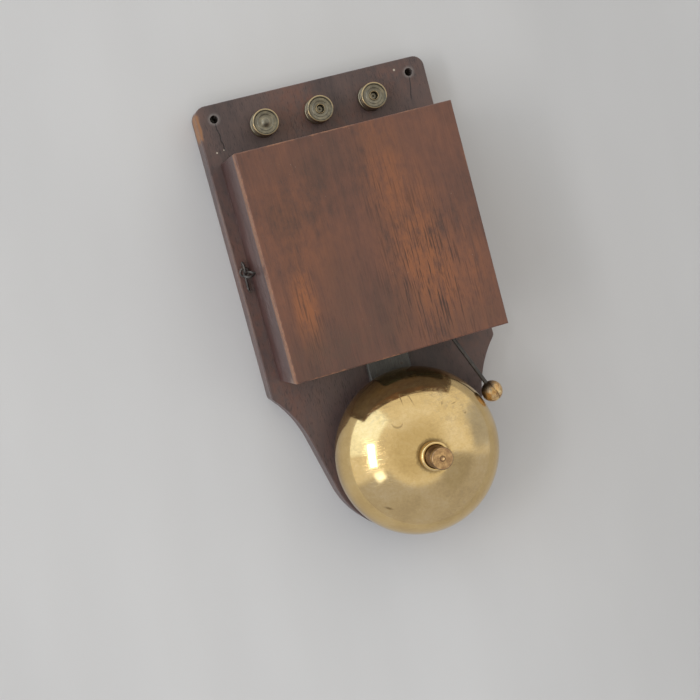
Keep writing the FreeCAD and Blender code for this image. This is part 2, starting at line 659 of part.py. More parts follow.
def make_gong():
    gong = turned("gong", [
        ("turn_x", "turn_z", "gong_side_radius", 1),
        ("crown_radius", "crown_z", "gong_crown_radius", 1),
        ("nut_bore_radius + 0.1", "crown_z"),
        ("nut_bore_radius + 0.1", "crown_z - gong_thick"),
        ("crown_in_x", "crown_z - gong_thick"),
        ("turn_in_x", "turn_in_z", "gong_crown_radius - gong_thick", -1),
        ("gong_radius - gong_thick", "0", "gong_side_radius - gong_thick", -1),
        ("gong_radius", "0"),
    ], ("gong_radius", "0"))
    keep("gong", place(gong, "gong_x", "gong_y", "board_thick + gong_up"))

    pillar = turned("gong_pillar", [
        ("pillar_spigot_dia / 2", "0"),
        ("pillar_spigot_dia / 2", "plate_thick"),
        ("pillar_foot_dia / 2", "plate_thick"),
        ("pillar_foot_dia / 2", "plate_thick + pillar_foot_thick"),
        ("pillar_waist_dia / 2", "plate_thick + pillar_foot_thick + 4", "5", -1),
        ("pillar_waist_dia / 2", "seat_up - 5"),
        ("crown_radius - 0.5", "seat_up - 2"),
        ("crown_radius - 0.5", "seat_up"),
        ("stud_radius", "seat_up"),
        ("stud_radius", "stud_up - 0.5"),
        ("stud_radius - 0.5", "stud_up"),
        ("0.6", "stud_up"),
        ("0", "stud_up - 0.5"),
        ("0", "0"),
    ], ("0", "0"))
    keep("gong_pillar", place(pillar, "gong_x", "gong_y", FRONT))

    washer = turned("gong_washer", [
        ("crown_radius - 0.5", "0"), ("crown_radius - 0.5", "washer_thick"),
        ("stud_radius + 0.1", "washer_thick"), ("stud_radius + 0.1", "0"),
    ], ("stud_radius + 0.1", "0"))
    keep("gong_washer", place(washer, "gong_x", "gong_y", "board_thick + seat_up"))

    nut = turned("gong_nut", [
        ("nut_dia / 2 - 0.4", "0"),
        ("nut_dia / 2", "0.4"),
        ("nut_dia / 2", "nut_high - 0.7"),
        ("nut_dia / 2 - 0.6", "nut_high", "0.9", 1),
        ("nut_bore_radius + 0.5", "nut_high - 0.35"),
        ("nut_bore_radius", "nut_high - nut_dish"),
        ("nut_bore_radius", "0"),
    ], ("nut_bore_radius", "0"))
    keep("gong_nut", place(nut, "gong_x", "gong_y", "board_thick + crown_up"))


# Iron frame plate: base under the magnet, strap to the gong

def make_frame():
    body = new_body("frame_plate")
    outline = new_sketch(body)
    strap_left, strap_right = "gong_x - strap_half", "gong_x + strap_half"
    add_outline(outline, (strap_left, "gong_y"), [
        ("gong_x", "gong_y - strap_half", "strap_half", 1),
        (strap_right, "gong_y", "strap_half", 1),
        (strap_right, "plate_low - strap_fillet"),
        (f"{strap_right} + strap_fillet", "plate_low", "strap_fillet", -1),
        ("plate_right", "plate_low"),
        ("plate_right", "ear_high"),
        ("ear_left", "ear_high"),
        ("ear_left", "plate_high"),
        ("plate_left", "plate_high"),
        ("plate_left", "plate_low"),
        (f"{strap_left} - strap_fillet", "plate_low"),
        (strap_left, "plate_low - strap_fillet", "strap_fillet", -1),
        (strap_left, "gong_y"),
    ])
    pad(body, outline, "plate_thick")
    corners = {(number(x), number(y)) for x in ("plate_left", "plate_right")
               for y in ("plate_low", "plate_high", "ear_high")}

    def is_corner(edge):
        upright = len(edge.Vertexes) == 2 and abs(edge.Vertexes[0].Z - edge.Vertexes[1].Z) > 1
        spot = edge.Vertexes[0].Point
        return upright and any(abs(spot.x - x) + abs(spot.y - y) < 1e-3 for x, y in corners)
    dress(body, "Fillet", "plate_corner", is_corner)
    dress(body, "Chamfer", "plate_thick / 6", lies_at(number("plate_thick")))

    holes = new_sketch(body)
    add_circle(holes, "gong_x", "gong_y", "pillar_spigot_dia + 2 * bore_gap")
    for x, y in PLATE_SCREWS:
        add_circle(holes, x, y, "wood_screw_dia + 0.4")
    for y in ("core_low_y", "core_high_y"):
        add_circle(holes, "yoke_x - yoke_foot / 2", y, "core_screw_dia + 2 * bore_gap")
    add_circle(holes, "ear_left + 5", "clamp_low + 4.2", "core_screw_dia + 2 * bore_gap")
    add_circle(holes, "middle_hole_x", "plate_high - 3", "core_screw_dia + 2 * bore_gap")
    pocket(body, holes, upward=True)
    keep("frame_plate", place(body, "0", "0", FRONT))

    screws = []
    for x, y in PLATE_SCREWS:
        screw = round_headed_screw("frame_screw", "wood_screw_dia", "wood_screw_head", "wood_screw_long")
        screws.append(place(screw, x, y, "board_thick + plate_thick"))
    group("frame_screws", screws)
    lead = round_headed_screw("lead_screw", "core_screw_dia", "core_screw_dia * 1.7", "plate_thick", False)
    keep("lead_screw", place(lead, "middle_hole_x", "plate_high - 3", "board_thick + plate_thick"))


# Electromagnet

def make_magnet():
    yoke = new_body("magnet_yoke")
    side = new_sketch(yoke, "XZ_Plane")
    add_outline(side, ("-yoke_foot", "0"), [
        ("yoke_thick", "0"),
        ("yoke_thick", "axis_up - plate_thick + coil_radius"),
        ("0", "axis_up - plate_thick + coil_radius"),
        ("0", "yoke_thick"),
        ("-yoke_foot", "yoke_thick"),
        ("-yoke_foot", "0"),
    ])
    pad(yoke, side, "yoke_width", both_ways=True)
    bores = new_sketch(yoke, "YZ_Plane")
    for y in ("-core_spacing / 2", "core_spacing / 2"):
        add_circle(bores, y, "axis_up - plate_thick", "core_screw_dia + 2 * bore_gap")
    pocket(yoke, bores, upward=True)
    foot_holes = new_sketch(yoke)
    for y in ("-core_spacing / 2", "core_spacing / 2"):
        add_circle(foot_holes, "-yoke_foot / 2", y, "core_screw_dia + 2 * bore_gap")
    pocket(yoke, foot_holes, "yoke_thick", upward=True)

    def is_top_corner(edge):
        ends = edge.Vertexes
        along_x = len(ends) == 2 and abs(abs(ends[0].X - ends[1].X) - number("yoke_thick")) < 1e-3
        return along_x and ends[0].Z > number("axis_up") - 1
    dress(yoke, "Fillet", "yoke_thick * 1.5", is_top_corner)
    keep("magnet_yoke", place(yoke, "yoke_x", "core_middle_y", "board_thick + plate_thick"))

    foot_screws = []
    core_screws = []
    for level, y in (("lower", "core_low_y"), ("upper", "core_high_y")):
        core = turned(f"core_{level}", [
            ("core_dia / 2 - 0.3", "pole_x - yoke_front"), ("core_dia / 2", "pole_x - yoke_front - 0.3"),
            ("core_dia / 2", "0"), ("core_screw_dia / 2 + bore_gap", "0"),
            ("core_screw_dia / 2 + bore_gap", "8"), ("0", "8.8"),
            ("0", "pole_x - yoke_front"),
        ], ("0", "pole_x - yoke_front"))
        keep(f"core_{level}", place(core, "yoke_front", y, "board_thick + axis_up", TURN_TO_X))

        bobbin = turned(f"bobbin_{level}", [
            ("cheek_dia / 2", "0"), ("cheek_dia / 2", "cheek_thick"),
            ("tube_radius", "cheek_thick"), ("tube_radius", "bobbin_end - yoke_front - cheek_thick"),
            ("cheek_dia / 2", "bobbin_end - yoke_front - cheek_thick"),
            ("cheek_dia / 2", "bobbin_end - yoke_front"),
            ("bobbin_bore", "bobbin_end - yoke_front"), ("bobbin_bore", "0"),
        ], ("bobbin_bore", "0"))
        keep(f"bobbin_{level}", place(bobbin, "yoke_front", y, "board_thick + axis_up", TURN_TO_X))

        coil = turned(f"coil_{level}", [
            ("coil_radius - 0.5", "0"), ("coil_radius", "0.5"),
            ("coil_radius", "bobbin_end - yoke_front - 2 * cheek_thick - 0.5"),
            ("coil_radius - 0.5", "bobbin_end - yoke_front - 2 * cheek_thick"),
            ("tube_radius", "bobbin_end - yoke_front - 2 * cheek_thick"), ("tube_radius", "0"),
        ], ("tube_radius", "0"))
        keep(f"coil_{level}", place(coil, "yoke_front + cheek_thick", y, "board_thick + axis_up", TURN_TO_X))

        screw = round_headed_screw("core_screw", "core_screw_dia", "core_screw_dia * 1.9",
                                   "yoke_thick + 7", False)
        core_screws.append(place(screw, "yoke_x", y, "board_thick + axis_up", TURN_TO_MINUS_X))
        screw = round_headed_screw("yoke_screw", "core_screw_dia", "core_screw_dia * 1.9",
                                   "yoke_thick + plate_thick", False)
        foot_screws.append(place(screw, "yoke_x - yoke_foot / 2", y,
                                 "board_thick + plate_thick + yoke_thick"))
    group("core_screws", core_screws)
    group("yoke_screws", foot_screws)


# Armature, spring and hammer

def make_hammer():
    armature = new_body("armature")
    face = new_sketch(armature, "YZ_Plane")
    half, round_end = "armature_wide / 2", "armature_thick / 2"
    add_outline(face, (f"armature_low + {round_end}", f"-{half}"), [
        (f"armature_high - {round_end}", f"-{half}"),
        ("armature_high", f"{round_end} - {half}", round_end, 1),
        ("armature_high", f"{half} - {round_end}"),
        (f"armature_high - {round_end}", half, round_end, 1),
        (f"armature_low + {round_end}", half),
        ("armature_low", f"{half} - {round_end}", round_end, 1),
        ("armature_low", f"{round_end} - {half}"),
        (f"armature_low + {round_end}", f"-{half}", round_end, 1),
    ])
    pad(armature, face, "armature_thick")
    rivet_places = ["leaf_off_y + 4", "armature_high - 4"]
    rivet_holes = new_sketch(armature, "YZ_Plane")
    for y in rivet_places:
        add_circle(rivet_holes, y, "0", "rivet_dia + 2 * bore_gap")
    pocket(armature, rivet_holes, upward=True)
    rod_hole = new_sketch(armature, "XZ_Plane", "-armature_low")
    add_circle(rod_hole, "armature_thick / 2", "0", "rod_dia + 2 * bore_gap")
    pocket(armature, rod_hole, "rod_grip")
    keep("armature", place(armature, "armature_x", "0", "board_thick + axis_up"))

    spring = new_body("armature_spring")
    bent = new_sketch(spring)
    add_outline(bent, ("0", "leaf_off_y"), [
        ("leaf_out", "leaf_touch_y"),
        ("leaf_out", "leaf_low_y"),
        ("leaf_out + spring_thick", "leaf_low_y"),
        ("leaf_out + spring_thick", "leaf_touch_y"),
        ("spring_thick", "leaf_off_y"),
        ("spring_thick", "clamp_high"),
        ("0", "clamp_high"),
        ("0", "leaf_off_y"),
    ])
    pad(spring, bent, "spring_wide", both_ways=True)
    clamp_places = ["clamp_low + 2.1", "clamp_high - 2.1"]
    spring_holes = new_sketch(spring, "YZ_Plane")
    for y in rivet_places:
        add_circle(spring_holes, y, "0", "rivet_dia + 2 * bore_gap")
    for y in clamp_places:
        add_circle(spring_holes, y, "0", "clamp_screw_dia + 2 * bore_gap")
    pocket(spring, spring_holes, upward=True)
    keep("armature_spring", place(spring, "spring_x", "0", "board_thick + axis_up"))

    rivets = []
    for y in rivet_places:
        rivet = turned("armature_rivet", [
            ("rivet_dia / 2", "-spring_thick - armature_thick"), ("rivet_dia / 2", "0"),
            ("rivet_dia * 0.9", "0"),
            ("0", "rivet_dia * 0.45", dome("rivet_dia * 0.9", "rivet_dia * 0.45"), 1),
            ("0", "-spring_thick - armature_thick"),
        ], ("0", "-spring_thick - armature_thick"))
        rivets.append(place(rivet, "spring_x + spring_thick", y, "board_thick + axis_up", TURN_TO_X))
    group("armature_rivets", rivets)

    bracket = new_body("armature_bracket")
    angle = new_sketch(bracket, "XZ_Plane")
    foot = "bracket_x - ear_left - 1"
    top = "axis_up - plate_thick + clamp_wide / 2"
    add_outline(angle, (f"-({foot})", "0"), [
        ("bracket_thick", "0"),
        ("bracket_thick", top),
        ("0", top),
        ("0", "bracket_thick"),
        (f"-({foot})", "bracket_thick"),
        (f"-({foot})", "0"),
    ])
    pad(bracket, angle, "clamp_high - clamp_low")
    clamp_holes = new_sketch(bracket, "YZ_Plane")
    for y in clamp_places:
        add_circle(clamp_holes, f"{y} - clamp_high", "axis_up - plate_thick", "clamp_screw_dia + 2 * bore_gap")
    pocket(bracket, clamp_holes, upward=True)
    foot_hole = new_sketch(bracket)
    add_circle(foot_hole, "ear_left + 5 - bracket_x", "clamp_low + 4.2 - clamp_high",
               "core_screw_dia + 2 * bore_gap")
    pocket(bracket, foot_hole, "bracket_thick", upward=True)
    keep("armature_bracket", place(bracket, "bracket_x", "clamp_high", "board_thick + plate_thick"))
    screw = round_headed_screw("bracket_screw", "core_screw_dia", "core_screw_dia * 1.7",
                               "bracket_thick + plate_thick", False)
    keep("bracket_screw", place(screw, "ear_left + 5", "clamp_low + 4.2",
                                "board_thick + plate_thick + bracket_thick"))

    clamp = new_body("spring_clamp")
    clamp_face = new_sketch(clamp, "YZ_Plane")
    add_box(clamp_face, "clamp_low", "-clamp_wide / 2", "clamp_high", "clamp_wide / 2")
    for y in clamp_places:
        add_circle(clamp_face, y, "0", "clamp_screw_dia + 2 * bore_gap")
    pad(clamp, clamp_face, "clamp_thick")
    keep("spring_clamp", place(clamp, "spring_x - clamp_thick", "0", "board_thick + axis_up"))
    screws = []
    for y in clamp_places:
        screw = round_headed_screw("clamp_screw", "clamp_screw_dia", "clamp_screw_dia * 1.8",
                                   "clamp_thick + spring_thick + bracket_thick", False)
        screws.append(place(screw, "spring_x - clamp_thick", y, "board_thick + axis_up", TURN_TO_MINUS_X))
    group("clamp_screws", screws)

    axis_z = "board_thick + axis_up"
    rod_end = number("ball_dia") * 0.3
    aim = (at("ball_x", "ball_y", axis_z) - at("armature_mid_x", "rod_bend_y", axis_z)).normalize()
    rod = tube([at("armature_mid_x", "armature_low + rod_grip - 0.1", axis_z),
                at("armature_mid_x", "rod_bend_y", axis_z),
                at("ball_x", "ball_y", axis_z) + aim * rod_end],
               number("rod_dia / 2"), number("rod_bend_radius"))
    keep("hammer_rod", feature_from("hammer_rod", rod))

    sphere = doc.addObject("Part::Sphere", "ball_sphere")
    sphere.setExpression("Radius", bound("ball_dia / 2"))
    bore = doc.addObject("Part::Cylinder", "ball_bore")
    bore.setExpression("Radius", bound("rod_dia / 2 + bore_gap"))
    bore.setExpression("Height", bound("ball_dia"))
    bore.setExpression("Placement.Base.z", bound("-ball_dia * 0.32"))
    ball = doc.addObject("Part::Cut", "hammer_ball")
    ball.Base = sphere
    ball.Tool = bore
    lean = FreeCAD.Rotation(Z_AXIS, number("rod_lean")).multiply(FreeCAD.Rotation(X_AXIS, -90))
    keep("hammer_ball", place(ball, "ball_x", "ball_y", axis_z, lean))


# Contact pillar, its insulator, the contact screw and its lock nut

def make_contact():
    block = new_body("contact_insulator")
    sketch = new_sketch(block)
    add_box(sketch, "-insulator_wide / 2", "-insulator_long / 2", "insulator_wide / 2", "insulator_long / 2")
    add_circle(sketch, "0", "0", "contact_screw_dia + 2 * bore_gap")
    pad(block, sketch, "insulator_thick")
    keep("contact_insulator", place(block, "contact_x", "contact_y", FRONT))

    pillar = turned("contact_pillar", [
        ("contact_screw_dia * 0.3", "insulator_thick - wood_screw_long"),
        ("contact_screw_dia / 2", "insulator_thick - wood_screw_long * 0.6"),
        ("contact_screw_dia / 2", "insulator_thick"),
        ("contact_foot_dia / 2", "insulator_thick"),
        ("contact_foot_dia / 2", "insulator_thick + contact_foot_thick"),
        ("contact_pillar_dia / 2", "insulator_thick + contact_foot_thick + 1", "1.2", -1),
        ("contact_pillar_dia / 2", "axis_up + 3"),
        ("0", "axis_up + 4.6", dome("contact_pillar_dia / 2", "1.6"), 1),
        ("0", "insulator_thick - wood_screw_long"),
    ], ("0", "insulator_thick - wood_screw_long"))
    cross_bore = new_sketch(pillar, "YZ_Plane")
    add_circle(cross_bore, "0", "axis_up", "contact_screw_dia + 2 * thread_gap")
    pocket(pillar, cross_bore, "2 * contact_pillar_dia", both_ways=True)
    keep("contact_pillar", place(pillar, "contact_x", "contact_y", FRONT))

    shank = "contact_head_x - contact_tip_x"
    screw = turned("contact_screw", [
        ("0.7", "0"), ("0.7", "1"),
        ("contact_screw_dia / 2 - 0.4", "1"), ("contact_screw_dia / 2", "1.4"),
        ("contact_screw_dia / 2", shank),
        ("contact_head_dia / 2 - 0.4", shank), ("contact_head_dia / 2", f"{shank} + 0.4"),
        ("contact_head_dia / 2", f"{shank} + contact_head_thick - 0.4"),
        ("contact_head_dia / 2 - 0.4", f"{shank} + contact_head_thick"),
        ("0", f"{shank} + contact_head_thick"), ("0", "0"),
    ], ("0", "0"))
    keep("contact_screw", place(screw, "contact_tip_x", "contact_y", "board_thick + axis_up", TURN_TO_X))

    nut = turned("contact_lock_nut", [
        ("lock_nut_dia / 2 - 0.4", "0"), ("lock_nut_dia / 2", "0.4"),
        ("lock_nut_dia / 2", "lock_nut_thick - 0.4"), ("lock_nut_dia / 2 - 0.4", "lock_nut_thick"),
        ("contact_screw_dia / 2 + thread_gap", "lock_nut_thick"),
        ("contact_screw_dia / 2 + thread_gap", "0"),
    ], ("contact_screw_dia / 2 + thread_gap", "0"))
    keep("contact_lock_nut", place(nut, "contact_x + contact_pillar_dia / 2 + 0.1", "contact_y",
                                   "board_thick + axis_up", TURN_TO_X))


# Terminals

def make_terminals():
    washers = []
    nuts = []
    for side, x in TERMINAL_NAMES.items():
        under = "counterbore_deep - board_thick"
        seat = "thumb_up - thumb_high"
        closed = side == "left"
        post_top = "thumb_up - 2.4"
        post = turned(f"terminal_post_{side}", [
            ("post_dia / 2", f"{under} - back_washer_thick - back_nut_thick - 0.6"),
            ("post_dia / 2", "0"),
            ("flange_dia / 2 - 0.3", "0"),
            ("flange_dia / 2", "0.3"),
            ("flange_dia / 2", "flange_thick - 0.5"),
            ("flange_dia / 2 - 0.5", "flange_thick", "0.6", 1),
            ("post_dia / 2", "flange_thick"),
            ("post_dia / 2", f"{post_top} - 0.3"),
            ("post_dia / 2 - 0.3", post_top),
            ("0.5", post_top),
            ("0", f"{post_top} - 0.5"),
            ("0", f"{under} - back_washer_thick - back_nut_thick - 0.6"),
        ], ("0", f"{under} - back_washer_thick - back_nut_thick - 0.6"))
        keep(f"terminal_post_{side}", place(post, x, "terminal_y", FRONT))

        rim, bore = "thumb_dia / 2", "post_dia / 2 + thread_gap"
        edge = [
            (rim, f"{seat} + 0.3"),
            (rim, f"{seat} + thumb_high * 0.42"),
            (f"{rim} - 0.35", f"{seat} + thumb_high * 0.5"),
            (rim, f"{seat} + thumb_high * 0.58"),
            (rim, "thumb_up - 0.35"),
            (f"{rim} - 0.35", "thumb_up", "0.4", 1),
            (f"{rim} - 0.7", "thumb_up"),
            (f"{rim} - 1.1", "thumb_up - 0.6"),
            (f"{rim} - 2.2", "thumb_up - 0.75"),
            (f"{rim} - 2.4", "thumb_up - 0.6"),
            (f"{rim} - 2.7", "thumb_up - 0.75"),
        ]
        if closed:
            face = edge + [(f"{bore} + 0.25", "thumb_up - 0.8"), ("0", "thumb_up + 0.1"),
                           ("0", "thumb_up - 1.9"), (bore, "thumb_up - 1.9")]
        else:
            face = edge + [(f"{bore} + 0.55", "thumb_up - 0.8"), (f"{bore} + 0.45", "thumb_up - 0.35"),
                           (f"{bore} + 0.15", "thumb_up - 0.35"), (bore, "thumb_up - 0.6")]
        thumb = turned(f"terminal_nut_{side}", face + [
            (bore, "flange_thick + 0.1"),
            ("thumb_neck_dia / 2", "flange_thick + 0.1"),
            ("thumb_neck_dia / 2", seat),
            (f"{rim} - 0.3", seat),
        ], (f"{rim} - 0.3", seat))
        keep(f"terminal_nut_{side}", place(thumb, x, "terminal_y", FRONT))

        washer = turned("terminal_washer", [
            ("back_washer_dia / 2", "0"), ("back_washer_dia / 2", "back_washer_thick"),
            ("post_dia / 2 + bore_gap", "back_washer_thick"), ("post_dia / 2 + bore_gap", "0"),
        ], ("post_dia / 2 + bore_gap", "0"))
        washers.append(place(washer, x, "terminal_y", "counterbore_deep - back_washer_thick"))

        nut = new_body("terminal_back_nut")
        hexagon = new_sketch(nut)
        corners = [(f"back_nut_dia / 2 * cos({60 * turn})", f"back_nut_dia / 2 * sin({60 * turn})")
                   for turn in range(6)]
        add_outline(hexagon, corners[0], corners[1:] + corners[:1])
        add_circle(hexagon, "0", "0", "post_dia + 2 * bore_gap")
        pad(nut, hexagon, "back_nut_thick")
        nuts.append(place(nut, x, "terminal_y",
                          "counterbore_deep - back_washer_thick - back_nut_thick"))
    group("terminal_washers", washers)
    group("terminal_back_nuts", nuts)


# Covered wires, from the grooves behind the board into the case

def make_wires():
    radius, bend = number("wire_dia / 2"), number("wire_bend")
    groove_z = "groove_wide / 2"
    start_y = "terminal_y - back_nut_dia / 2 - 0.2"

    def start_x(side):
        """The middle of a slanting groove where its wire leaves the terminal."""
        top, (x, y) = TERMINAL_NAMES[side], WIRE_HOLES[side]
        return f"{top} + ({x} - ({top})) * (back_nut_dia / 2 + 0.2) / (terminal_y - {y})"
    coil_top = "core_high_y + coil_radius + 0.1"
    coil_x = "yoke_front + cheek_thick + wire_dia"
    axis_z = "board_thick + axis_up"

    left = tube([
        at("-terminal_spacing", start_y, groove_z),
        at("-terminal_spacing", "lead_hole_y", groove_z),
        at("-terminal_spacing", "lead_hole_y", "board_thick + 8"),
        at(coil_x, "lead_hole_y - 2", axis_z),
        at(coil_x, coil_top, axis_z),
    ], radius, bend)
    keep("wire_left", feature_from("wire_left", left))

    over_plate = "board_thick + plate_thick + wire_dia / 2 + 0.1"
    middle = tube([
        at(start_x("middle"), start_y, groove_z),
        at("middle_hole_x", "lead_hole_y", groove_z),
        at("middle_hole_x", "lead_hole_y", over_plate),
        at("middle_hole_x", "plate_high - 3 + core_screw_dia * 0.85 + 0.1", over_plate),
    ], radius, number("wire_dia"))
    keep("wire_middle", feature_from("wire_middle", middle))

    foot_z = "board_thick + insulator_thick + wire_dia / 2 + 0.1"
    right = tube([
        at(start_x("right"), start_y, groove_z),
        at("pillar_hole_x", "pillar_hole_y", groove_z),
        at("pillar_hole_x", "pillar_hole_y", foot_z),
        at("contact_x", "pillar_hole_y", foot_z),
        at("contact_x", "contact_y + contact_foot_dia / 2 + 0.1", foot_z),
    ], radius, number("wire_dia"))
    keep("wire_right", feature_from("wire_right", right))

    link = tube([
        at(coil_x, "core_low_y + coil_radius + 0.1", axis_z),
        at(coil_x, "core_high_y - coil_radius - 0.1", axis_z),
    ], radius, bend)
    keep("coil_link", feature_from("coil_link", link))

    back = tube([
        at(coil_x, "core_low_y - coil_radius - 0.1", axis_z),
        at(coil_x, "core_low_y - coil_radius - 4.5", axis_z),
        at(coil_x, "core_low_y - coil_radius - 4.5", "board_thick + plate_thick + 0.1"),
    ], radius, bend)
    keep("coil_return", feature_from("coil_return", back))


# Catches: a hook on an eye in the board, and an eye in the cover's wall for it to enter

def wall_eye_spot():
    """The wall eye's centre, along Y and above the board."""
    along = "hook_length * cos(latch_angle) - latch_reach * sin(latch_angle)"
    above = "hook_length * sin(latch_angle) + latch_reach * cos(latch_angle)"
    return f"catch_y - ({along})", f"catch_up + {above}"


def screw_eye(name, radius, shank):
    """A ring in its own XY plane with a shank out along +X."""
    ring = doc.addObject("Part::Torus", name + "_ring")
    ring.setExpression("Radius1", bound(radius))
    ring.setExpression("Radius2", bound("catch_wire_dia / 2"))
    stem = doc.addObject("Part::Cylinder", name + "_shank")
    stem.setExpression("Radius", bound("eye_shank_dia / 2"))
    stem.setExpression("Height", bound(shank))
    stem.Placement.Rotation = TURN_TO_X
    stem.setExpression("Placement.Base.x", bound(radius))
    eye = doc.addObject("Part::Fuse", name)
    eye.Base = ring
    eye.Tool = stem
    return eye


def make_catches():
    board_eyes = []
    wall_eyes = []
    upright = FreeCAD.Rotation(Y_AXIS, 90)
    for side, sign in SIDES.items():
        x = f"{sign} * catch_x"
        eye = screw_eye(f"board_eye_{side}", "board_eye_radius",
                        "catch_up - board_eye_radius + eye_shank_long")
        board_eyes.append(place(eye, x, "catch_y", "board_thick + catch_up", upright))

        y, up = wall_eye_spot()
        tilt = FreeCAD.Rotation(X_AXIS, -number("latch_angle"))
        face = FreeCAD.Rotation(Z_AXIS, 0 if sign < 0 else 180)
        eye = screw_eye(f"wall_eye_{side}", "wall_eye_radius",
                        "catch_x - wall_eye_radius - case_half + wall_shank_long")
        wall_eyes.append(place(eye, x, y, f"board_thick + {up}", tilt.multiply(face)))

        wire = number("catch_wire_dia / 2")
        ring_radius = number("hook_eye_radius")
        ring = Part.makeTorus(ring_radius, wire, FreeCAD.Vector(0, -ring_radius, 0), Z_AXIS)
        reach = number("hook_length")
        shank = tube([
            FreeCAD.Vector(0, -2 * ring_radius, 0),
            FreeCAD.Vector(0, -reach, 0),
            FreeCAD.Vector(0, -reach, number("hook_tip")),
        ], wire, number("hook_bend"))
        hook = feature_from(f"catch_hook_{side}", ring.fuse(shank))
        droop = FreeCAD.Rotation(X_AXIS, number("hook_droop"))
        keep(f"catch_hook_{side}", place(hook, x, "catch_y", "board_thick + catch_up", droop))
    group("catch_board_eyes", board_eyes)
    group("catch_wall_eyes", wall_eyes)


make_backboard()
make_cover()
make_gong()
make_frame()
make_magnet()
make_hammer()
make_contact()
make_terminals()
make_wires()
make_catches()
doc.recompute()

# Every object and every sub-part is sound before any file is written
for item in doc.Objects:
    if {"Invalid", "Error"} & set(item.State):
        raise RuntimeError(f"{item.Label} failed: {item.State}")
for name, item in parts.items():
    if item.Shape.isNull() or not item.Shape.isValid():
        raise RuntimeError(f"{name} has no valid shape")

os.makedirs("parts", exist_ok=True)
for name, item in parts.items():
    item.Shape.exportStep(f"parts/{name}.step")
    print(f"{name:24s} solids {len(item.Shape.Solids)}  volume {item.Shape.Volume:10.2f}")
print(len(parts), "nodes; ball at", round(number("ball_x"), 2), round(number("ball_y"), 2),
      "rod lean", round(number("rod_lean"), 2))
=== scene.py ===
# %% [markdown]
# # Finishing an electric bell
# The bell lies on its back on a pale cloth: a mahogany board, a lift-off wooden cover,
# a polished brass gong with a small hammer beside it, and three brass terminals.
# Its rigid pieces come from the CAD model, already in their places, in metres.
# This lesson gives each of them its finish, and turns, winds or bends the few pieces
# whose form needs a finer mesh than the CAD's: the gong, the nuts, the windings, the wires.

# %% Load the bell
import functools
import math

import bmesh
import bpy
from mathutils import Matrix, Vector


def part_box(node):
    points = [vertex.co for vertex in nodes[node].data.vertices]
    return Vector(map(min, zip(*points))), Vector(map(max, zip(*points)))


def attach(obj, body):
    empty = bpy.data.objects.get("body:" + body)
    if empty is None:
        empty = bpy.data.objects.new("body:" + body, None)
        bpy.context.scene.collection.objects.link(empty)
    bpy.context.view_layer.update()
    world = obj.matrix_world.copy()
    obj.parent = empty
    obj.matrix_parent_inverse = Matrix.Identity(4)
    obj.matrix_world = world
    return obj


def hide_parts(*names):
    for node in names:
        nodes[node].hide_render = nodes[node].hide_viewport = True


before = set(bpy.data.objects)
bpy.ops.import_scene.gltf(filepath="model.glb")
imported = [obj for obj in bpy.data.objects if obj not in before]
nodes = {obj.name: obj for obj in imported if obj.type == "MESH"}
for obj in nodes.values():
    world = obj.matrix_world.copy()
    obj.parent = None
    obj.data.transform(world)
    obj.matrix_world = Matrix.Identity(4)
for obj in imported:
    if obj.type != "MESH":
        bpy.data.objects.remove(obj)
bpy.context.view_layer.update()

# %% [markdown]
# ## The camera
# The photograph was taken by hand from above the left wall of the case, so the camera
# stands about 0.62 m up and leans a little. Its height, place and tilt were worked out
# from the straight edges of the board and the case. We set them as plain numbers.

# %% Camera
camera = bpy.data.objects.new("camera", bpy.data.cameras.new("camera"))
bpy.context.scene.collection.objects.link(camera)
bpy.context.scene.camera = camera
camera.data.sensor_width = 36.0
camera.data.lens = 71.02
camera.location = (-0.14675, 0.03460, 0.61995)
camera.rotation_euler = [math.radians(angle) for angle in (-1.2664, -13.1380, -15.3916)]
print("camera", round(camera.location.z, 2), "m up, lens", round(camera.data.lens), "mm")

# %% [markdown]
# ## Shader maths as Python
# A procedural finish is mostly arithmetic on masks. Adding Math nodes by hand hides that
# arithmetic, so one small class wraps a socket: adding or multiplying two of them adds
# the node. `strongest` joins several masks into one.

# %% Signals
MM = 0.001


class Signal:
    """An output socket of a node tree. Arithmetic on it adds Math nodes."""

    def __init__(self, tree, socket):
        self.tree = tree
        self.socket = socket

    def maths(self, operation, *others):
        terms = dict(enumerate((self, *others)))
        return self.tree.node("Math", {"operation": operation}, terms)

    def __add__(self, other):
        return self.maths("ADD", other)

    def __sub__(self, other):
        return self.maths("SUBTRACT", other)

    def __rsub__(self, other):
        return self.tree.node("Math", {"operation": "SUBTRACT"}, {0: other, 1: self})

    def __mul__(self, other):
        return self.maths("MULTIPLY", other)

    def __truediv__(self, other):
        return self.maths("DIVIDE", other)

    __radd__ = __add__
    __rmul__ = __mul__

    def __abs__(self):
        return self.maths("ABSOLUTE")

    def root(self):
        return self.maths("SQRT")

    def larger(self, other):
        return self.maths("MAXIMUM", other)

    def smaller(self, other):
        return self.maths("MINIMUM", other)

    def rise(self, low, high):
        """0 below low, 1 above high, smooth between. low may be the larger of the two."""
        return self.tree.node("MapRange", {"interpolation_type": "SMOOTHSTEP"},
                              {"Value": self, "From Min": low, "From Max": high})


def strongest(masks):
    """The largest of several masks at each place."""
    return functools.reduce(Signal.larger, masks)


# %% [markdown]
# ## Node trees and materials
# Every other node comes from one method, `node`, that takes the node's type, its settings
# and its inputs. `Tree` is any node tree, so it serves the sky as well, and `Paint` is a
# material whose coordinates are millimetres on the object.

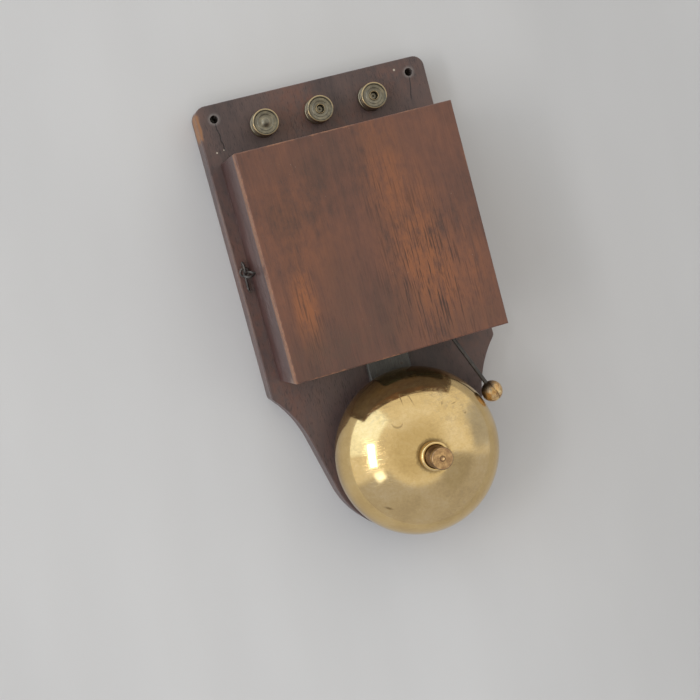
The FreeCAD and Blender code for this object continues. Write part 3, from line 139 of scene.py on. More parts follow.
# %% Trees
class Tree:
    """A node tree, with one way to add any node to it."""

    def __init__(self, nodes_and_links):
        self.tree = nodes_and_links

    def node(self, kind, settings=None, inputs=None, output=0):
        """Adds a node, with its settings first, and returns one of its outputs."""
        node = self.tree.nodes.new("ShaderNode" + kind)
        for name, value in (settings or {}).items():
            if name == "stops":
                ramp = node.color_ramp.elements
                while len(ramp) < len(value):
                    ramp.new(0.5)
                for stop, (where, colour) in zip(ramp, value):
                    stop.position = where
                    stop.color = (*colour, 1.0)
            else:
                setattr(node, name, value)
        for name, value in (inputs or {}).items():
            if isinstance(value, Signal):
                self.tree.links.new(node.inputs[name], value.socket)
            else:
                node.inputs[name].default_value = value
        return Signal(self, node.outputs[output])

    def split(self, vector):
        """The x, y and z of a vector, each as a signal."""
        parts = self.node("SeparateXYZ", None, {0: vector}).socket.node.outputs
        return [Signal(self, part) for part in parts]

    def blend(self, factor, first, second):
        """Mixes two colours, each a triple or a signal."""
        sockets = {0: factor}
        for index, colour in ((6, first), (7, second)):
            sockets[index] = colour if isinstance(colour, Signal) else (*colour, 1.0)
        return self.node("Mix", {"data_type": "RGBA"}, sockets, output=2)


# %% Paint
class Paint(Tree):
    """A material under construction."""

    def __init__(self, name):
        self.material = bpy.data.materials.new(name)
        self.material.use_nodes = True
        super().__init__(self.material.node_tree)
        self.shader = self.tree.nodes["Principled BSDF"]
        metres = self.node("TexCoord", output="Object")
        self.place = self.node("VectorMath", {"operation": "SCALE"}, {0: metres, "Scale": 1 / MM})

    def axes(self, centre=(0, 0, 0)):
        """The x, y and z distances from a point."""
        moved = self.node("VectorMath", {"operation": "SUBTRACT"}, {0: self.place, 1: centre})
        return self.split(moved)

    def noise(self, size, stretch=(1, 1, 1), detail=3.0, rough=0.5, warp=0.0, turn=0.0,
              shift=0.0, place=None):
        """Noise with features of about the given size, longer along a stretched axis."""
        scale = [1 / (size * along) for along in stretch]
        spot = self.node("Mapping", None, {"Vector": place or self.place, "Scale": scale,
                                           "Rotation": (0, 0, math.radians(turn)),
                                           "Location": (shift, 2 * shift, 3 * shift)})
        return self.node("TexNoise", None, {"Vector": spot, "Scale": 1.0, "Detail": detail,
                                            "Roughness": rough, "Distortion": warp})

    def flecks(self, spacing, size, crowd):
        """Small specks, one at most in each cell, that gather where a slow noise is high."""
        spot = self.node("VectorMath", {"operation": "SCALE"}, {0: self.place, "Scale": 1 / spacing})
        reach = self.node("TexVoronoi", {"feature": "F1"}, {"Vector": spot, "Scale": 1.0})
        return reach.rise(size / spacing, size / spacing * 0.6) * self.noise(12).rise(crowd, crowd + 0.1)

    def ramp(self, signal, *stops):
        """A colour that runs through (position, colour) stops."""
        return self.node("ValToRGB", {"stops": stops}, {"Fac": signal})

    def spot(self, centre, width, height=None, soft=0.5, turn=0.0):
        """A soft oval mask about a point of the front, seen from above."""
        placed = self.node("VectorMath", {"operation": "SUBTRACT"}, {0: self.place, 1: (*centre, 0)})
        turned = self.node("Mapping", {"vector_type": "POINT"},
                           {"Vector": placed, "Rotation": (0, 0, math.radians(-turn))})
        flat = self.node("VectorMath", {"operation": "MULTIPLY"},
                         {0: turned, 1: (2 / width, 2 / (height or width), 0)})
        reach = self.node("VectorMath", {"operation": "LENGTH"}, {0: flat}, output="Value")
        return reach.rise(1 + soft, 1 - soft)

    def spots(self, *ovals):
        """Several soft ovals, each (centre, width, height, turn, strength), as one mask."""
        return strongest(self.spot(centre, width, height, soft=0.85, turn=turn) * strength
                         for centre, width, height, turn, strength in ovals)

    def bump(self, height, depth, normal=None):
        """A bump whose height signal of 1 stands for depth millimetres."""
        inputs = {"Height": height, "Distance": depth * MM, "Strength": 1.0}
        if normal:
            inputs["Normal"] = normal
        return self.node("Bump", None, inputs)

    def finish(self, **values):
        """Sets or links the shader's inputs, such as base_color or roughness."""
        for name, value in values.items():
            socket = self.shader.inputs[name.replace("_", " ").title()]
            if isinstance(value, Signal):
                self.tree.links.new(socket, value.socket)
            elif isinstance(value, tuple):
                socket.default_value = (*value, 1.0)
            else:
                socket.default_value = value
        return self.material


def wear(material, *names):
    """Gives CAD nodes or pieces a material."""
    for name in names:
        piece = nodes[name] if isinstance(name, str) else name
        piece.data.materials.clear()
        piece.data.materials.append(material)
    print(material.name, "on", len(names), "piece" if len(names) == 1 else "pieces")


def millimetres(node):
    """The low and high corners of a CAD node's box."""
    return [[value / MM for value in corner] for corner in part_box(node)]


# %% [markdown]
# ## Old mahogany
# Mahogany shows three things at three scales: broad colour bands along the grain, fine
# streaks, and open pores that look like short dark dashes. All three are noise that is
# stretched along Y, the way the boards were cut. A slow sideways warp keeps the grain
# from running dead straight. `grain` returns the signals, and each board mixes its own
# colours from them.

# %% Grain of mahogany
def grain(paint, seed=0.0, lean=0.0):
    """Signals of a mahogany board with its grain along Y."""
    drift = paint.noise(38, (1, 2.2, 1), detail=2, shift=seed + 3.1) - 0.5
    push = paint.node("CombineXYZ", None, {"X": drift * 9.0, "Z": drift * 5.0})
    bent = paint.node("VectorMath", {"operation": "ADD"}, {0: paint.place, 1: push})

    def along(size, length, detail, shift, rough=0.6):
        return paint.noise(size, (1, length, 1), detail=detail, rough=rough, turn=lean,
                           shift=seed + shift, place=bent)

    signals = {
        "bands": along(14, 6, 3, 0, 0.5),
        "streaks": along(2.4, 12, 5, 7),
        "fibres": along(0.40, 22, 3, 11),
        "mottle": paint.noise(3.4, (1, 1.5, 1), detail=5, rough=0.65, shift=seed + 29),
    }
    dashes = along(0.30, 9, 2, 17, 0.4)
    crowd = paint.noise(9, (1, 3, 1), detail=1, shift=seed + 23)
    signals["pores"] = (dashes + crowd * 0.25).rise(0.71, 0.82)
    signals["figure"] = (signals["bands"] * 0.40 + signals["streaks"] * 0.22
                         + signals["fibres"] * 0.14 + signals["mottle"] * 0.24)
    return signals


def distance_inside(paint, low, high):
    """Millimetres from the nearest edge of a box, seen from above."""
    centre = [(a + b) / 2 for a, b in zip(low, high)]
    half = [(b - a) / 2 for a, b in zip(low, high)]
    x, y = paint.axes((centre[0], centre[1], 0))[:2]
    return (half[0] - abs(x)).smaller(half[1] - abs(y))


# %% [markdown]
# ## The cover
# The front panel is the warmest piece: a dull red-brown, a little orange where the polish
# has worn through, greyer toward its lower edge, and a thin broken orange line where its
# left edge was rubbed. The worn places sit where they show in the photograph, as a few
# soft ovals. There the grain stands open, so the fine dark lines are stronger. Inside,
# the boards were never polished, so they are paler and dull.

# %% Cover front
panel = Paint("polished_mahogany_panel")
figure = grain(panel, seed=1.7, lean=2.0)
broad = panel.noise(26, (1, 1.4, 1), detail=4, shift=5.2)
reds = panel.ramp(figure["figure"] * 0.7 + broad * 0.3,
                  (0.40, (0.076, 0.040, 0.031)), (0.50, (0.135, 0.058, 0.040)),
                  (0.61, (0.190, 0.076, 0.046)))
worn = panel.spots(((-36, 9), 9, 34, -4, 0.9), ((12, 50), 18, 60, 3, 0.6),
                   ((19, 14), 26, 66, 3, 0.8), ((-30, 40), 26, 50, 0, 0.3),
                   ((38, 4), 16, 50, 0, 0.35), ((8, -8), 20, 22, 0, 0.35))
uneven = (figure["streaks"] * 0.8 + figure["mottle"] * 0.9 + broad * 0.5 - 0.35).rise(0.40, 1.05)
reds = panel.blend(worn * uneven * 1.5, reds, (0.275, 0.098, 0.041))
grey = panel.spots(((-28, -12), 46, 22, 8, 0.9), ((-5, -6), 40, 24, 0, 0.7),
                   ((-18, 8), 18, 40, 0, 0.5), ((30, -14), 40, 12, 0, 0.5),
                   ((-8, 68), 60, 12, 0, 0.35))
grey = grey * (figure["mottle"] + broad * 0.5 - 0.2).rise(0.30, 0.75)
reds = panel.blend(grey * 0.75, reds, (0.088, 0.052, 0.038))
opened = panel.spots(((20, 8), 34, 62, 3, 1.0), ((8, 46), 14, 40, 3, 0.6), ((-36, 5), 12, 44, -4, 0.6))
lines = panel.noise(0.66, (1, 24, 1), detail=3, rough=0.5, turn=2, shift=4.4).rise(0.52, 0.64)
lines = lines * (opened * 0.85 + 0.15)
dark = (lines * 0.85).larger(figure["pores"] * (opened * 0.3 + 0.2))
reds = panel.blend(dark, reds, (0.042, 0.021, 0.015))
low, high = millimetres("cover_front")
x, _, z = panel.axes()
edge = distance_inside(panel, low, high)
ragged = panel.noise(1.6, (1, 1.5, 1), detail=4, shift=9.0)
broken = panel.noise(13, detail=3, shift=7.7)
rub = (edge + ragged * 1.5).rise(1.45, 0.75) * (broken - x * 0.0022).rise(0.44, 0.60)
reds = panel.blend(rub * 0.8, reds, (0.34, 0.155, 0.080))
dust = panel.flecks(2.6, 0.16, 0.52) * z.rise(high[2] - 0.3, high[2] - 0.1)
reds = panel.blend(dust * 0.7, reds, (0.42, 0.33, 0.28))
raw = z.rise(low[2] + 0.4, low[2] + 0.1) * edge.rise(6.2, 6.6)
reds = panel.blend(raw, reds, (0.20, 0.105, 0.055))
gloss = panel.noise(14, detail=4, shift=2.4)
surface = figure["fibres"] * 0.5 - figure["pores"] * 0.8 - lines * 1.2 + ragged * rub * 2.0
wear(panel.finish(base_color=reds,
                  roughness=gloss * 0.22 + 0.32 + lines * 0.15 + raw * 0.3,
                  normal=panel.bump(surface, 0.035)), "cover_front")

# %% [markdown]
# The four walls keep more of their old polish. The left one catches the window as a cool
# sheen. Pale streaks down the grain are painted on the left side, as sheen and as scuffs,
# and the lower one is painted paler grey-brown on its outer face, as dust and as sheen.
# The left and right walls have their grain along Y. The upper and lower ones have it
# along X, so their paint reads coordinates that are turned by a quarter.

# %% Cover walls
WALLS_LOW, WALLS_HIGH = millimetres("cover_left")[0], millimetres("cover_right")[1]


def wall_paint(name, quarter_turns, sheen_and_scuffing, dust_and_sheen_level):
    """Old polish for walls whose grain lies along Y, or along X after a quarter turn."""
    paint = Paint(name)
    x, y, z = paint.axes()
    edge = distance_inside(paint, WALLS_LOW, WALLS_HIGH)
    paint.place = paint.node("Mapping", None, {"Vector": paint.place,
                                               "Rotation": (0, 0, quarter_turns * math.pi / 2)})
    figure = grain(paint, seed=5.3)
    browns = paint.ramp(figure["figure"], (0.40, (0.050, 0.022, 0.020)), (0.50, (0.078, 0.033, 0.029)),
                        (0.62, (0.115, 0.050, 0.042)))
    sheen_and_scuffs = paint.noise(0.9, (1, 16, 1), detail=4, rough=0.6, shift=3.3)
    patches = paint.noise(16, (1, 2.4, 1), detail=3, shift=6.4)
    # painted sheen and scuffs: pale streaks, strongest on the left side, toward the window
    sheen_and_scuffs = (sheen_and_scuffs + patches * 0.4).rise(0.72, 0.90) * x.rise(40.0, -40.0) * sheen_and_scuffing
    browns = paint.blend(sheen_and_scuffs * 0.55, browns, (0.24, 0.17, 0.165))
    browns = paint.blend(figure["pores"] * 0.5, browns, (0.020, 0.010, 0.008))
    frayed = paint.noise(1.8, (1, 2, 1), detail=4, shift=8.1)
    corner = (y - WALLS_LOW[1] + frayed * 5).rise(6.0, 3.0) * (z - WALLS_LOW[2] + frayed * 6).rise(28.0, 34.0)
    browns = paint.blend(corner * x.rise(-44.0, -48.0) * 0.6, browns, (0.33, 0.21, 0.15))
    # dust and painted sheen: the lower wall's outer face is made paler grey-brown
    dust_and_sheen = y.rise(WALLS_LOW[1] + 1.2, WALLS_LOW[1] + 0.2)
    dust_and_sheen = dust_and_sheen * (patches * 0.6 + figure["mottle"] * 0.8).rise(0.35, 0.95) * dust_and_sheen_level
    browns = paint.blend(dust_and_sheen * 0.9, browns, (0.215, 0.165, 0.135))
    raw = edge.rise(5.9, 6.3)
    browns = paint.blend(raw * 0.9, browns, (0.20, 0.105, 0.055))
    gloss = paint.noise(20, (1, 2, 1), detail=3, shift=1.4)
    relief = paint.bump(figure["fibres"] * 0.5 - figure["pores"] - sheen_and_scuffs * 0.6, 0.03)
    return paint.finish(base_color=browns, roughness=gloss * 0.20 + 0.22 + sheen_and_scuffs * 0.15 + raw * 0.35,
                        normal=relief)


wear(wall_paint("polished_mahogany_walls", 0, 1.0, 0.0), "cover_left", "cover_right")
wear(wall_paint("cross_grained_mahogany", 1, 0.35, 1.0), "cover_top", "cover_bottom")

# %% [markdown]
# ## The backboard
# The board is darker and more purple than the cover, because dust and polish have built
# up on it. Its age shows in three places: a fine crack runs down the grain from each
# corner hole, grey dust lies round the holes, and the top left corner has lost a
# splinter, which shows bright wood. Its back was never polished.

# %% Backboard
board = Paint("dark_mahogany_board")
figure = grain(board, seed=8.8)
broad = board.noise(24, (1, 1.6, 1), detail=3, shift=3.3)
plum = board.ramp(figure["figure"] * 0.7 + broad * 0.3,
                  (0.39, (0.066, 0.045, 0.046)), (0.50, (0.108, 0.069, 0.064)),
                  (0.61, (0.150, 0.083, 0.069)))
ruddy = board.spots(((-8, 95), 20, 22, 0, 1.0), ((36, 97), 24, 14, 0, 0.7),
                    ((12, 83), 22, 14, 0, 0.7), ((-46, -24), 14, 30, 0, 1.0),
                    ((40, -24), 20, 20, 0, 0.6), ((-52, 20), 8, 120, 0, 0.6))
ruddy = ruddy * (figure["mottle"] + broad * 0.4).rise(0.50, 0.95)
plum = board.blend(ruddy * 0.8, plum, (0.180, 0.070, 0.048))
plum = board.blend(figure["pores"] * 0.5, plum, (0.016, 0.010, 0.009))
low, high = millimetres("backboard")
x, y, z = board.axes()
back = z.rise(0.6, 0.2)
plum = board.blend(back * 0.8, plum, (0.115, 0.062, 0.040))

# %% [markdown]
# Masks place the damage: a chip at the upper left corner, whose raw wood shows bright
# streaks, a pale line along the long edges, painted as worn varnish and as the sheen it
# catches, and a crack below each hole. A few specks of chalk lie on the face.

# %% Damage on the board
HALF_WIDTH, CHIP_Y = high[0], 96.0
ragged = board.noise(3.0, (1, 2.5, 1), detail=4, shift=6.1)
chip = (abs(y - CHIP_Y) + ragged * 9).rise(12.5, 9.5)
chip = chip * (x + HALF_WIDTH + ragged * 3.0).rise(3.3, 2.2) * (z + ragged * 5).rise(3.0, 6.0)
splinter = board.blend(figure["streaks"], (0.24, 0.11, 0.05), (0.40, 0.20, 0.10))
plum = board.blend(chip, plum, splinter)
# worn varnish and painted sheen: a pale line along the long edges
rubbed = (HALF_WIDTH - abs(x) + ragged * 0.9).rise(1.2, 0.4)
rubbed = rubbed * z.rise(9.0, 12.0) * broad.rise(0.40, 0.60) * 0.6
plum = board.blend(rubbed, plum, (0.21, 0.13, 0.10))

HOLES = ((-46.0, 98.1), (46.0, 98.1))
HOLE_DUST = 2.5
cracks = []
for (hole_x, hole_y), length, bend in zip(HOLES, (14.5, 12.5), (-0.10, 0.16)):
    below = hole_y - 1.2 - y
    wander = (board.noise(3, detail=2, shift=hole_x) - 0.5) * 1.2
    line = abs(x - hole_x + below * bend + wander).rise(0.30, 0.10)
    cracks.append(line * below.rise(0.0, 1.0) * below.rise(length, length - 3.0))
cracks = strongest(cracks)
plum = board.blend(cracks * 0.85, plum, (0.010, 0.006, 0.005))
dusty = strongest(board.spot(hole, 2 * HOLE_DUST, soft=0.35) for hole in HOLES)
dust = board.blend(board.noise(0.7), (0.13, 0.12, 0.12), (0.42, 0.38, 0.36))
plum = board.blend(dusty * 0.5, plum, dust)
CHALK = (((39.6, 100.5), 0.9), ((-39.3, 77.2), 0.8), ((-48.6, 83.6), 0.7), ((-45.3, 84.1), 0.5))
chalk = strongest(board.spot(centre, size, soft=0.5) for centre, size in CHALK)
plum = board.blend(chalk * z.rise(12.0, 12.6), plum, (0.60, 0.52, 0.42))
gloss = board.noise(14, (1, 1.6, 1), detail=4, shift=4.8)
surface = figure["fibres"] * 0.6 - figure["pores"] * 1.2 - cracks * 6.0 - chip * ragged * 8.0
wear(board.finish(base_color=plum,
                  roughness=gloss * 0.25 + 0.27 + back * 0.3 + chip * 0.3,
                  normal=board.bump(surface, 0.035)), "backboard")

# %% [markdown]
# ## A lathe
# Round brass pieces leave the lathe with a sharp profile and fine rings. The CAD mesh of
# a polished dome shows its facets in every reflection, so the gong is turned again here:
# its profile is a chain of points, and one spin sweeps it into a smooth shell. The same
# lathe turns the nuts, the striker and the pillar. Milled edges come from every second
# column of points, scaled in towards the axis.

# %% Lathe
VERTS, EDGES = bmesh.types.BMVert, bmesh.types.BMEdge


def of_kind(geometry, kind):
    """The vertices or the edges among what an operator returned."""
    return [item for item in geometry if isinstance(item, kind)]


def new_piece(name, shape, body, slot, *replaced, smooth=35):
    """An object at the origin that rides on a body, with its sharp edges kept."""
    mesh = bpy.data.meshes.new(name)
    shape.to_mesh(mesh)
    shape.free()
    piece = bpy.data.objects.new(name, mesh)
    bpy.context.scene.collection.objects.link(piece)
    mesh.polygons.foreach_set("use_smooth", [True] * len(mesh.polygons))
    mesh.set_sharp_from_angle(angle=math.radians(smooth))
    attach(piece, body)
    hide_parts(*replaced)
    print(f"{name}: {len(mesh.polygons)} faces")
    return piece


def turned(profile, base, axis=(0, 0, 1), steps=96, milled=None):
    """Spins a profile of (radius, height) millimetres about an axis through base.
    The profile closes on itself, unless both its ends lie on the axis.
    milled is (low, high, depth): the heights of a milled edge and its teeth's depth."""
    shape = bmesh.new()
    ring = [shape.verts.new((radius * MM, 0, height * MM)) for radius, height in profile]
    pairs = list(zip(ring, ring[1:]))
    if profile[0][0] > 0 or profile[-1][0] > 0:
        pairs.append((ring[-1], ring[0]))
    for pair in pairs:
        shape.edges.new(pair)
    bmesh.ops.spin(shape, geom=shape.verts[:] + shape.edges[:], axis=(0, 0, 1), cent=(0, 0, 0),
                   angle=math.tau, steps=steps, use_merge=True, use_duplicate=False)
    bmesh.ops.remove_doubles(shape, verts=shape.verts, dist=1e-6)
    bmesh.ops.dissolve_degenerate(shape, edges=shape.edges, dist=1e-7)
    bmesh.ops.recalc_face_normals(shape, faces=shape.faces)
    if milled:
        low, high, depth = milled
        edge = [v for v in shape.verts if low * MM - 1e-7 < v.co.z < high * MM + 1e-7]
        rim = max(v.co.xy.length for v in edge)
        odd = [v for v in edge if v.co.xy.length > rim * 0.98
               and round(math.atan2(v.co.y, v.co.x) / math.tau * steps) % 2]
        shrink = 1 - depth * MM / rim
        bmesh.ops.scale(shape, verts=odd, vec=(shrink, shrink, 1))
    upright = Vector((0, 0, 1)).rotation_difference(Vector(axis)).to_matrix().to_4x4()
    shape.transform(Matrix.Translation(Vector(base) * MM) @ upright)
    return shape


def arc(centre, radius, start, end, count):
    """Points of a circle in a profile, by angles in degrees from the radius axis."""
    angles = [math.radians(start + (end - start) * step / count) for step in range(count + 1)]
    return [(centre[0] + radius * math.cos(a), centre[1] + radius * math.sin(a)) for a in angles]


# %% [markdown]
# The gong's outside is two arcs that meet without a corner: a side that leaves the rim
# upright and a flatter crown. The inside runs a wall's thickness within them, and the
# two join at a lip with bevelled corners and at the hole for the pillar.

# %% Gong
GONG = (1.4, -66.9, 24.7)
RIM, RISE, SIDE, WALL = 37.8, 26.0, 19.5, 1.5
HOLE, FLAT, LIP = 5.1, 8.0, 0.25
shoulder = RIM - SIDE
CROWN = (shoulder ** 2 + RISE ** 2 - SIDE ** 2) / (2 * (RISE - SIDE))
crown_centre = (0.0, RISE - CROWN)
meet = math.degrees(math.atan2(CROWN - RISE, shoulder))
flat = math.degrees(math.acos(FLAT / CROWN))
flat_height = crown_centre[1] + CROWN * math.sin(math.radians(flat))
flat_in = math.sqrt((CROWN - WALL) ** 2 - (flat_height - WALL - crown_centre[1]) ** 2)
flat_inner = math.degrees(math.acos(flat_in / (CROWN - WALL)))
outside = arc((shoulder, 0), SIDE, 0, meet, 30)[1:-1] + arc(crown_centre, CROWN, meet, flat, 30)
inside = arc(crown_centre, CROWN - WALL, flat_inner, meet, 24)[:-1]
inside += arc((shoulder, 0), SIDE - WALL, meet, 0, 24)[:-1]
hole = [(HOLE, flat_height), (HOLE, flat_height - WALL)]
lip = [(RIM - WALL, LIP), (RIM - WALL + LIP, 0.0), (RIM - LIP, 0.0), (RIM, LIP)]
gong = new_piece("gong_shell", turned(outside + hole + inside + lip, GONG, steps=192),
                 "board", "gong_brass", "gong", smooth=40)

# %% [markdown]
# ## Polished brass
# A metal has no colour of its own apart from its reflection, so the base colour is the
# tint of the reflection, and Metallic is just under 1 for the thin haze on old brass.
# Handling leaves an uneven tarnish, fine scratches in all directions and deeper marks.
# The scratches are noise stretched to long threads, cut at a threshold and turned to
# several angles.

# %% Gong brass
def scratches(paint, angles, size, reach, level):
    """Thin straight scratches in several directions, seen from above."""
    threads = [paint.noise(size, (reach, 1, reach), detail=1, rough=0.3, turn=angle, shift=angle)
               for angle in angles]
    return strongest(thread.rise(level, level + 0.03) for thread in threads)


polish = Paint("polished_brass_gong")
cloud = polish.noise(13, detail=4, rough=0.6, shift=1.0)
fine = polish.noise(1.3, detail=5, rough=0.7, shift=4.0)
tint = polish.ramp(cloud * 0.6 + fine * 0.4, (0.36, (0.60, 0.42, 0.19)),
                   (0.50, (0.70, 0.500, 0.225)), (0.64, (0.76, 0.565, 0.29)))
stained = polish.spots(((19, -48), 26, 22, -30, 1.0), ((-15, -45), 12, 12, 0, 0.7),
                       ((14, -90), 30, 14, 20, 0.5))
stained = stained * polish.noise(2.6, detail=5, rough=0.7, shift=5.5).rise(0.50, 0.62)
tint = polish.blend(stained * 0.55, tint, (0.50, 0.37, 0.20))
hair = scratches(polish, (12, 48, 77, 121, 160), 0.16, 60, 0.71) * 0.6
scrubbed = polish.spot((17, -49), 30, 26, soft=0.6, turn=-35)
hair = hair.larger(scratches(polish, (30, 66, 104, 143), 0.20, 26, 0.66) * scrubbed)
tint = polish.blend(hair * 0.18, tint, (0.45, 0.32, 0.16))
marks = polish.spots(((-21.5, -85.0), 3.2, 0.9, -32, 1.0), ((-4.2, -40.3), 4.4, 0.35, 88, 0.9),
                     ((-0.2, -41.6), 4.6, 0.35, 100, 0.9), ((18.0, -48.5), 2.2, 0.4, 5, 0.8),
                     ((12.5, -47.0), 1.4, 0.5, 60, 0.7), ((22.0, -54.0), 0.9, 0.7, 0, 0.9))
crescent = polish.spot((-9.4, -49.6), 4.6, soft=0.12) * polish.spot((-9.2, -48.6), 5.0, soft=0.10)
bow = polish.spot((-9.4, -49.6), 4.6, soft=0.12) - crescent
marks = marks.larger(bow * 0.7)
tint = polish.blend(marks * 0.75, tint, (0.20, 0.12, 0.05))
x, y, z = polish.axes(GONG)
reach = (x * x + y * y).root()
collar = (reach + fine * 2.6).rise(9.6, 8.0)
tint = polish.blend(collar * 0.65, tint, (0.14, 0.095, 0.05))
# painted shade: toward the rim the gong's colour is darker, dimming the cloth's reflection there
painted_dim_rim = z.rise(9.0, 1.0)
tint = polish.blend(painted_dim_rim * 0.45, tint, (0.36, 0.265, 0.195))
wobble = polish.noise(11, detail=1.5, rough=0.4, shift=8.0)
fine_relief = polish.bump(fine * 0.16 - hair - marks * 4.0 - stained * 0.6, 0.006)
roughness = cloud * 0.06 + fine * 0.06 + 0.035 + marks * 0.3 + collar * 0.2 + stained * 0.10
wear(polish.finish(base_color=tint, metallic=0.94, roughness=roughness,
                   normal=polish.bump(wobble, 0.06, fine_relief)), gong)

# %% [markdown]
# ## The gong's pillar, its ring nut and the washer
# The gong stands on a turned pillar. A ring nut, dished on its face, holds it down on a
# leather washer, and the threaded end of the pillar stands well out of the nut. That end
# is brown from handling, while the nut's rounded rim is still bright.

# %% Pillar, nut and washer
BOARD_FACE, LEATHER = 12.7, 1.0
GONG_AXIS = GONG[:2]
seat = GONG[2] - BOARD_FACE + flat_height - WALL - LEATHER
STUD, STUD_TOP, PITCH = 4.9, 51.5, 1.0
thread = []
for turn in range(int((STUD_TOP - seat - 3.0) / PITCH)):
    start = seat + 2.2 + turn * PITCH
    thread += [(STUD, start), (STUD - 0.16, start + PITCH / 2)]
pillar_profile = ([(0, 0), (4, 0), (4, 3), (8, 3), (8, 5.7), (7.7, 6)] + arc((10, 6), 5, 180, 127, 8)[1:]
                  + [(5, 11), (5, seat - 5), (7.5, seat - 2), (7.5, seat), (STUD, seat)] + thread
                  + arc((STUD - 0.7, STUD_TOP - 0.7), 0.7, 0, 90, 6)
                  + [(0.75, STUD_TOP), (0.6, STUD_TOP - 0.12), (0, STUD_TOP - 0.5)])
pillar = new_piece("pillar_turned", turned(pillar_profile, (*GONG_AXIS, BOARD_FACE), steps=128),
                   "board", "turned_brass", "gong_pillar", smooth=30)

low, high = millimetres("gong_nut")
NUT, NUT_HIGH, BORE = 6.5, high[2] - low[2], STUD + 0.05
nut_profile = (arc((NUT - 0.5, 0.5), 0.5, -90, 0, 4) + arc((NUT - 1.0, NUT_HIGH - 1.0), 1.0, 0, 110, 12)
               + [(BORE + 0.45, NUT_HIGH - 0.35), (BORE, NUT_HIGH - 1.6), (BORE, 0)])
ring_nut = new_piece("ring_nut", turned(nut_profile, (*GONG_AXIS, low[2]), steps=128),
                     "gong_nut", "gong_brass", "gong_nut")

low, high = millimetres("gong_washer")
WASHER_RIM, WASHER_HOLE = 7.1, 5.0
washer_profile = arc((WASHER_RIM, LEATHER / 2), LEATHER / 2, -90, 90, 8)
washer_profile += [(WASHER_HOLE, LEATHER), (WASHER_HOLE, 0)]
washer = new_piece("leather_washer", turned(washer_profile, (*GONG_AXIS, low[2])),
                   "board", "washer_leather", "gong_washer")

# %% [markdown]
# ## Turned brass and leather
# Bright turned brass keeps faint rings from the tool, which follow the distance from the
# piece's own axis. Grime has gathered round the ring nut's bore, and the pillar's end is
# browned and mottled. The washer under the gong is plain brown leather.

# %% Turned brass
def turned_brass(name, axis, bright, dull, rough, rings=5.0):
    """A brass with faint turning rings about an upright axis, and its patchy tarnish."""
    paint = Paint(name)
    x, y, z = paint.axes((*axis, 0))
    reach = (x * x + y * y).root()
    patchy = paint.noise(3.2, detail=5, rough=0.65)
    colour = paint.ramp(patchy, (0.38, dull), (0.60, bright))
    groove = (reach * (rings * math.tau)).maths("SINE")
    paint.finish(base_color=colour, metallic=1.0, roughness=patchy * 0.2 + rough,
                 normal=paint.bump(groove + patchy * 2.0, 0.0035))
    return paint, colour, reach, z


paint, colour, reach, z = turned_brass("bright_ring_nut", GONG_AXIS, (0.86, 0.63, 0.30),
                                       (0.70, 0.49, 0.22), 0.06)
grime = reach.rise(5.45, 5.15) * 0.75
grime = grime.larger(z.rise(50.9, 50.4) * 0.8)
wear(paint.finish(base_color=paint.blend(grime, colour, (0.13, 0.085, 0.045))), ring_nut)

paint, colour, reach, z = turned_brass("browned_pillar", GONG_AXIS, (0.72, 0.47, 0.23),
                                       (0.42, 0.26, 0.14), 0.22, rings=0.9)
blotch = paint.noise(1.4, detail=4, rough=0.7, shift=2.0).rise(0.42, 0.60)
colour = paint.blend(blotch * 0.6, colour, (0.33, 0.185, 0.10))
flank = reach.rise(STUD - 0.55, STUD - 0.15) * z.rise(53.0, 54.0)
colour = paint.blend(flank * 0.7, colour, (0.17, 0.105, 0.06))
ringed = abs(reach - 1.1).rise(0.35, 0.15)
colour = paint.blend(ringed * 0.7, colour, (0.10, 0.06, 0.04))
wear(paint.finish(base_color=colour), pillar)

leather = Paint("brown_leather")
pores = leather.noise(0.5, detail=3, rough=0.6)
tan = leather.ramp(leather.noise(3, detail=4) * 0.6 + pores * 0.4,
                   (0.38, (0.12, 0.062, 0.033)), (0.62, (0.23, 0.125, 0.068)))
wear(leather.finish(base_color=tan, roughness=pores * 0.2 + 0.62,
                    normal=leather.bump(pores, 0.06)), washer)

# %% [markdown]
# ## The terminals
# Each thumb nut is a milled drum with a groove round its middle and a dished face. The
# left one is closed by a low cone, and the other two show the stud's end in a raised
# ring.

# %% Thumb nuts
SPACING, TERMINAL_Y = 25.4, 90.9
THUMB, TOP, SEAT, NECK, FOOT, POST = 5.9, 8.0, 3.5, 3.0, 2.5, 1.65


def thumb_profile(closed):
    """The nut's section, from the board up: its drum, its dished face and its bore."""
    drum = arc((THUMB - 0.3, SEAT + 0.3), 0.3, -90, 0, 4)
    drum += [(THUMB, SEAT + 1.9), (THUMB - 0.35, SEAT + 2.25), (THUMB, SEAT + 2.6)]
    drum += arc((THUMB - 0.35, TOP - 0.35), 0.35, 0, 90, 5)
    dish = [(THUMB - 0.7, TOP), (THUMB - 1.1, TOP - 0.6), (THUMB - 2.2, TOP - 0.75),
            (THUMB - 2.4, TOP - 0.6), (THUMB - 2.7, TOP - 0.75)]
    if closed:
        middle = [(2.6, TOP - 0.78), (2.1, TOP - 0.70), (1.5, TOP - 0.42), (0.9, TOP - 0.12),
                  (0.4, TOP + 0.03), (0, TOP + 0.07)]
        bore = [(0, TOP - 1.9), (POST, TOP - 1.9), (POST, FOOT), (NECK, FOOT), (NECK, SEAT)]
        return bore + drum + dish + middle
    middle = [(POST + 0.62, TOP - 0.8)] + arc((POST + 0.3, TOP - 0.55), 0.2, 0, 180, 6)
    return drum + dish + middle + [(POST, TOP - 0.7), (POST, FOOT), (NECK, FOOT), (NECK, SEAT)]


thumb_nuts = []
for name, along in (("left", -SPACING), ("middle", 0.0), ("right", SPACING)):
    shape = turned(thumb_profile(name == "left"), (along, TERMINAL_Y, BOARD_FACE), steps=144,
                   milled=(SEAT + 2.6, TOP - 0.35, 0.10))
    thumb_nuts.append(new_piece(f"thumb_nut_{name}", shape, f"thumb_nut_{name}", "terminal_brass",
                                f"terminal_nut_{name}", smooth=30))
